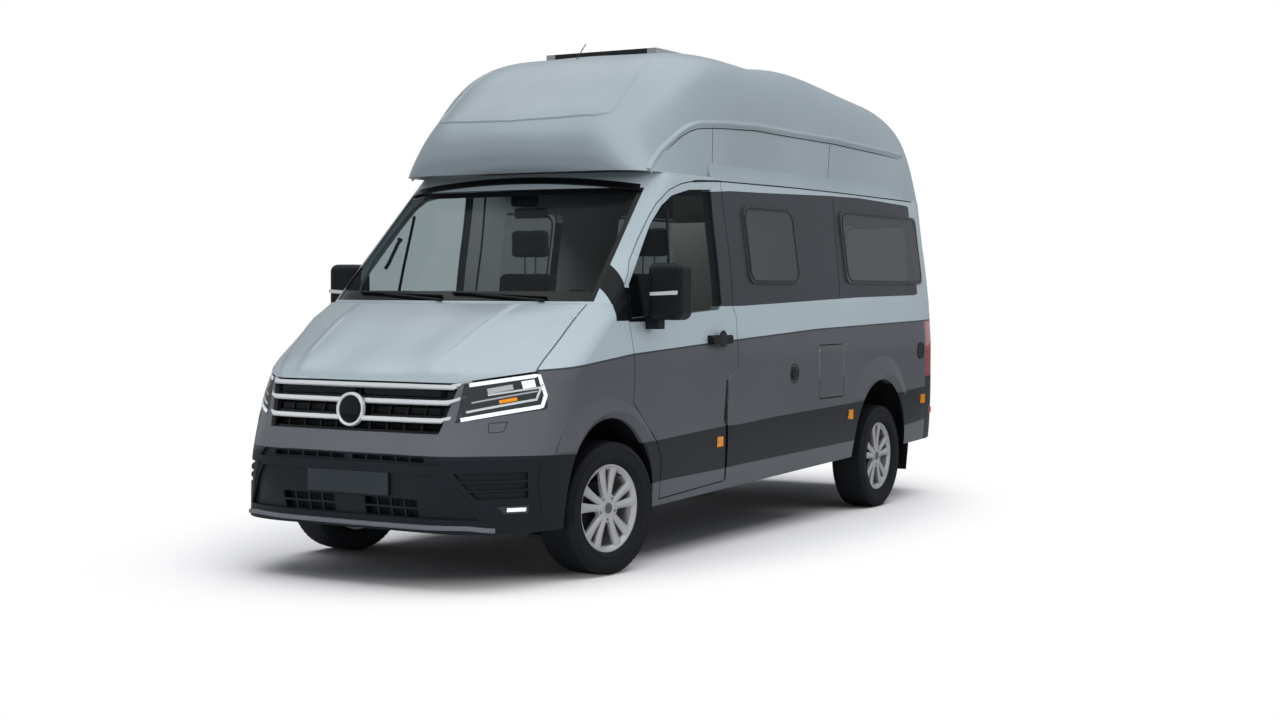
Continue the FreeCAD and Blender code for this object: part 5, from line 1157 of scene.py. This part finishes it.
def mud_flap(side, end):
    """Flap hanging behind each rear wheel."""
    y = AXLE + 4.165
    outline = [(side * x, y + dy, z) for x, dy, z in
               ((0.74, 0.0, 0.62), (0.955, 0.0, 0.62), (0.962, 0.0, 0.40), (0.955, -0.02, 0.22), (0.75, -0.02, 0.22))]
    plate("mud_flap_" + end, outline, 0.008, RUBBER, 0.003, slot="tyre_rubber")


both_sides(rear_window)
rear_details()
both_sides(reflectors)
both_sides(tail_lamp_lights)
both_sides(mud_flap)


# inside the cab
SEAT_MIDDLE = 0.430
CUSHION_FRONT, CUSHION_BACK = -1.253, -0.733
CUSHION_LOW, CUSHION_TOP = 0.880, 1.010
BACK_LOW, BACK_TOP = 0.945, 1.640
LEAN, BACK_THICK = 0.120, 0.120
SEAT_HALF = 0.255
HEAD_HALF, HEAD_LOW, HEAD_TOP, HEAD_THICK = 0.140, 1.710, 1.900, 0.095
BACK_FRONT = CUSHION_BACK - BACK_THICK
HEAD_FRONT = CUSHION_BACK + LEAN - HEAD_THICK
PLAIN_STRIP = 0.15          # half width of the cross-sewn middle of a seat
FLOOR_TOP = 0.560
INSET, SWELL = 0.010, 0.014
SWELL_FRAMES = 20
ROOM_HALF = 0.818           # half width between the linings


def settled(made):
    """The piece's mesh with its modifiers worked in."""
    deps = bpy.context.evaluated_depsgraph_get()
    mesh = bpy.data.meshes.new_from_object(made.evaluated_get(deps))
    made.modifiers.clear()
    made.data = mesh
    return mesh


def stuffed(made, voxel, cap, channels):
    """Swell a closed form like a sewn pad, then press its sewn channels in."""
    cut = made.modifiers.new("Skin", "REMESH")
    cut.mode, cut.voxel_size = "VOXEL", voxel
    mesh = settled(made)
    start = [v.co.copy() for v in mesh.vertices]
    cloth = made.modifiers.new("Pad", "CLOTH")
    cloth.settings.use_pressure = True
    cloth.settings.uniform_pressure_force = 4.0
    cloth.settings.effector_weights.gravity = 0.0
    cloth.point_cache.frame_start, cloth.point_cache.frame_end = 1, SWELL_FRAMES
    for step in range(1, SWELL_FRAMES + 1):
        bpy.context.scene.frame_set(step)
    mesh = settled(made)
    for v, was in zip(mesh.vertices, start):
        move = v.co - was
        if move.length > cap:
            v.co = was + move * (cap / move.length)
    bpy.context.scene.frame_set(1)
    made.modifiers.new("Even", "SMOOTH").iterations = 8
    mesh = settled(made)
    for v in mesh.vertices:
        v.co += channels(v.co)
    finer = made.modifiers.new("Finer", "SUBSURF")
    finer.levels = finer.render_levels = 1
    mesh = settled(made)
    mesh.shade_smooth()
    mesh.materials.clear()
    mesh.materials.append(FABRIC)
    return made


def groove(distance, depth, width):
    return depth * math.exp(-(distance / width) ** 2)


def sewn(x, along, places):
    """Depth of the two long channels of a pad and of the cross ones between them."""
    deep = groove(x - PLAIN_STRIP, 0.009, 0.006)
    if x < PLAIN_STRIP:
        deep += sum(groove(along - place, 0.006, 0.006) for place in places)
    return deep


def cushion_channels(p):
    if p.z <= CUSHION_LOW + 0.08:
        return Vector()
    return Vector((0, 0, -sewn(abs(p.x - SEAT_MIDDLE), p.y - CUSHION_FRONT, (0.13, 0.26, 0.39))))


def back_channels(p):
    if p.y > BACK_FRONT + LEAN * (p.z - BACK_LOW) / (BACK_TOP - BACK_LOW) + 0.03:
        return Vector()
    return Vector((0, sewn(abs(p.x - SEAT_MIDDLE), p.z - BACK_LOW, (0.17, 0.32, 0.47, 0.60)), 0))


def head_channels(p):
    return Vector((0, groove(p.z - (HEAD_LOW + 0.05), 0.004, 0.005), 0)) if p.y < HEAD_FRONT + 0.02 else Vector()


def bed_channel(p):
    return Vector((0, 0, -groove(p.x, 0.01, 0.02))) if p.z > 1.05 else Vector()


def pad(name, half, y0, y1, z0, z1, round_off, shear=0.0):
    """A rounded block of fabric on the driver's side, before it is stuffed."""
    return block("driver_seat_" + name, (SEAT_MIDDLE - half, y0, z0), (SEAT_MIDDLE + half, y1, z1), round_off, FABRIC,
                 shear)


def driver_pads():
    """Cushion, back and head rest, each with its sewn channels."""
    s = INSET
    cushion = pad("cushion", SEAT_HALF - s, CUSHION_FRONT + s, CUSHION_BACK - s, CUSHION_LOW + s / 2, CUSHION_TOP - s,
                  0.03)
    back = pad("back", SEAT_HALF - s - 0.01, BACK_FRONT + s, CUSHION_BACK - s, BACK_LOW, BACK_TOP - s, 0.035, LEAN)
    for v in back.data.vertices:
        pull = max(0.0, (v.co.z - 1.30) / (BACK_TOP - 1.30))
        v.co.x = SEAT_MIDDLE + (v.co.x - SEAT_MIDDLE) * (1 - 0.14 * pull)
    head = pad("head_rest", HEAD_HALF - s, HEAD_FRONT + s, HEAD_FRONT + HEAD_THICK - s, HEAD_LOW + s, HEAD_TOP - s,
               0.025)
    return (cushion, cushion_channels), (back, back_channels), (head, head_channels)


def twin_of(made, name, shift):
    """The same pad for the other seat."""
    mesh = made.data.copy()
    for v in mesh.vertices:
        v.co.x += shift
    twin = bpy.data.objects.new(name, mesh)
    bpy.context.scene.collection.objects.link(twin)
    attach(twin, "body")
    return twin


def seat_frame(name, x):
    """The head rest's two posts, and the pedestal."""
    post_y = HEAD_FRONT + HEAD_THICK / 2
    for number, dx in enumerate((-0.04, 0.04)):
        spots = [Vector((x + dx, post_y, BACK_TOP - 0.05)), Vector((x + dx, post_y, HEAD_LOW + 0.03))]
        strip("%s_post_%d" % (name, number + 1), spots, [Vector((1, 0, 0))] * 2, round_section(0.006, 14),
              BRIGHT_STEEL)
    block("%s_pedestal" % name, (x - 0.195, CUSHION_FRONT + 0.06, FLOOR_TOP + 0.003),
          (x + 0.195, CUSHION_BACK - 0.06, CUSHION_LOW + 0.02), 0.025, DASH)


def seats():
    for made in [stuffed(form, 0.009, SWELL, channels) for form, channels in driver_pads()]:
        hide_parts("driver_seat")
        twin = twin_of(made, made.name.replace("driver", "passenger"), -2 * SEAT_MIDDLE)
        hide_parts("passenger_seat")
    seat_frame("driver_seat", SEAT_MIDDLE)
    seat_frame("passenger_seat", -SEAT_MIDDLE)


def mattress():
    """Bed pad over the bed board across the rear."""
    form = block("bed_mattress", (-0.79, AXLE + 3.18 - 0.004, 0.985), (0.79, AXLE + 4.62, 1.075), 0.025, FABRIC)
    stuffed(form, 0.02, 0.012, bed_channel)


def door_bars(side, end):
    """Upright bar of the door window, and the grab handle inside the screen pillar."""
    glass, foot, top = surface("door_glass_" + end), 1.40, 1.965
    heights = [foot + k * (top - foot) / 13 for k in range(14)]
    spots, ups = laid(from_side(glass, -1.345 + (z - foot) * 0.17, z, side) for z in heights)
    strip("door_window_bar_" + end, spots, ups, flat_section(0.020, 0.002, 0.006), BLACK, body="b_door_front_" + end)
    bow = [Vector((side * x, y, z)) for x, y, z in ((0.79, -1.66, 1.64), (0.765, -1.665, 1.665), (0.76, -1.63, 1.72),
                                                    (0.755, -1.585, 1.79), (0.76, -1.55, 1.81), (0.785, -1.54, 1.815))]
    strip("grab_handle_" + end, bow, [Vector((side, 0, 0))] * len(bow), round_section(0.011, 12), DASH)


def dash_details():
    """Hood of the instruments, screen, air vents and the pad of the steering wheel."""
    _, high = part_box("dashboard")
    hood = []
    for k in range(13):
        a = math.pi * k / 12
        hood.append(Vector((SEAT_MIDDLE + 0.19 * math.cos(a), -1.66, high.z - 0.012 + 0.045 * math.sin(a))))
    section = [(-0.008, -0.09), (-0.008, 0.05), (0.008, 0.05), (0.008, -0.09)]
    strip("instrument_hood", hood, [Vector((0, 1, 0))] * len(hood), section, DASH)
    screen = [(-0.12, -1.545, 1.18), (0.12, -1.545, 1.18), (0.12, -1.565, 1.31), (-0.12, -1.565, 1.31)]
    plate("centre_screen", screen, 0.008, GLOSS_BLACK, 0.004, (0, 1, 0.12))
    for number, x in enumerate((-0.78, -0.20, 0.20, 0.78)):
        outline = [(x - 0.05, -1.55, 1.22), (x + 0.05, -1.55, 1.22), (x + 0.05, -1.56, 1.28), (x - 0.05, -1.56, 1.28)]
        plate("air_vent_%d" % (number + 1), outline, 0.006, BLACK, 0.004, (0, 1, 0.12))
    centre = Matrix.Translation((SEAT_MIDDLE, AXLE + 0.560, 1.330)) @ Matrix.Rotation(math.radians(-65), 4, "X")
    profile = [(0.055, 0.0), (0.06, 0.012), (0.045, 0.028), (0.01, 0.032)]
    piece("steering_wheel_pad", *closed_turned(profile, 40, centre), BLACK)


def sensor_pod():
    """Housing and inner mirror at the top middle of the windscreen."""
    y = AXLE + 0.62
    block("sensor_pod", (-0.075, y - 0.075, 2.00), (0.075, y + 0.015, 2.075), 0.02, BLACK)
    block("inner_mirror", (-0.115, y + 0.03, 1.935), (0.115, y + 0.05, 1.995), 0.009, BLACK)


def front_of_unit(name, x, y0, y1, z0, z1, look, bevel, way):
    """A door or grip lying on the face of a cabinet."""
    outline = [(x, y0, z0), (x, y1, z0), (x, y1, z1), (x, y0, z1)]
    plate(name, outline, 0.012, look, bevel, (way, 0, 0))


def galley_fronts():
    """Doors, worktop and handles of the galley, and the washroom door."""
    inner = -ROOM_HALF + 0.52
    y0, y1 = AXLE + 2.72, AXLE + 3.15
    block("galley_worktop", (-ROOM_HALF + 0.02, y0 - 0.008, 1.482), (inner + 0.008, y1 + 0.008, 1.500), 0.004, TRIM)
    for number, (z0, z1) in enumerate(((0.60, 0.96), (0.97, 1.22), (1.23, 1.46))):
        front_of_unit("galley_door_%d" % (number + 1), inner - 0.001, y0 + 0.01, y1 - 0.01, z0, z1, TRIM, 0.003, 1)
        front_of_unit("galley_grip_%d" % (number + 1), inner + 0.010, y0 + 0.14, y1 - 0.14, z1 - 0.04, z1 - 0.02,
                      BLACK, 0.004, 1)
    front_of_unit("washroom_door", ROOM_HALF - 0.70 + 0.001, AXLE + 2.15 + 0.12, AXLE + 3.08 - 0.12, 0.62, 2.06, TRIM,
                  0.003, -1)


seats()
mattress()
both_sides(door_bars)
dash_details()
sensor_pod()
galley_fronts()
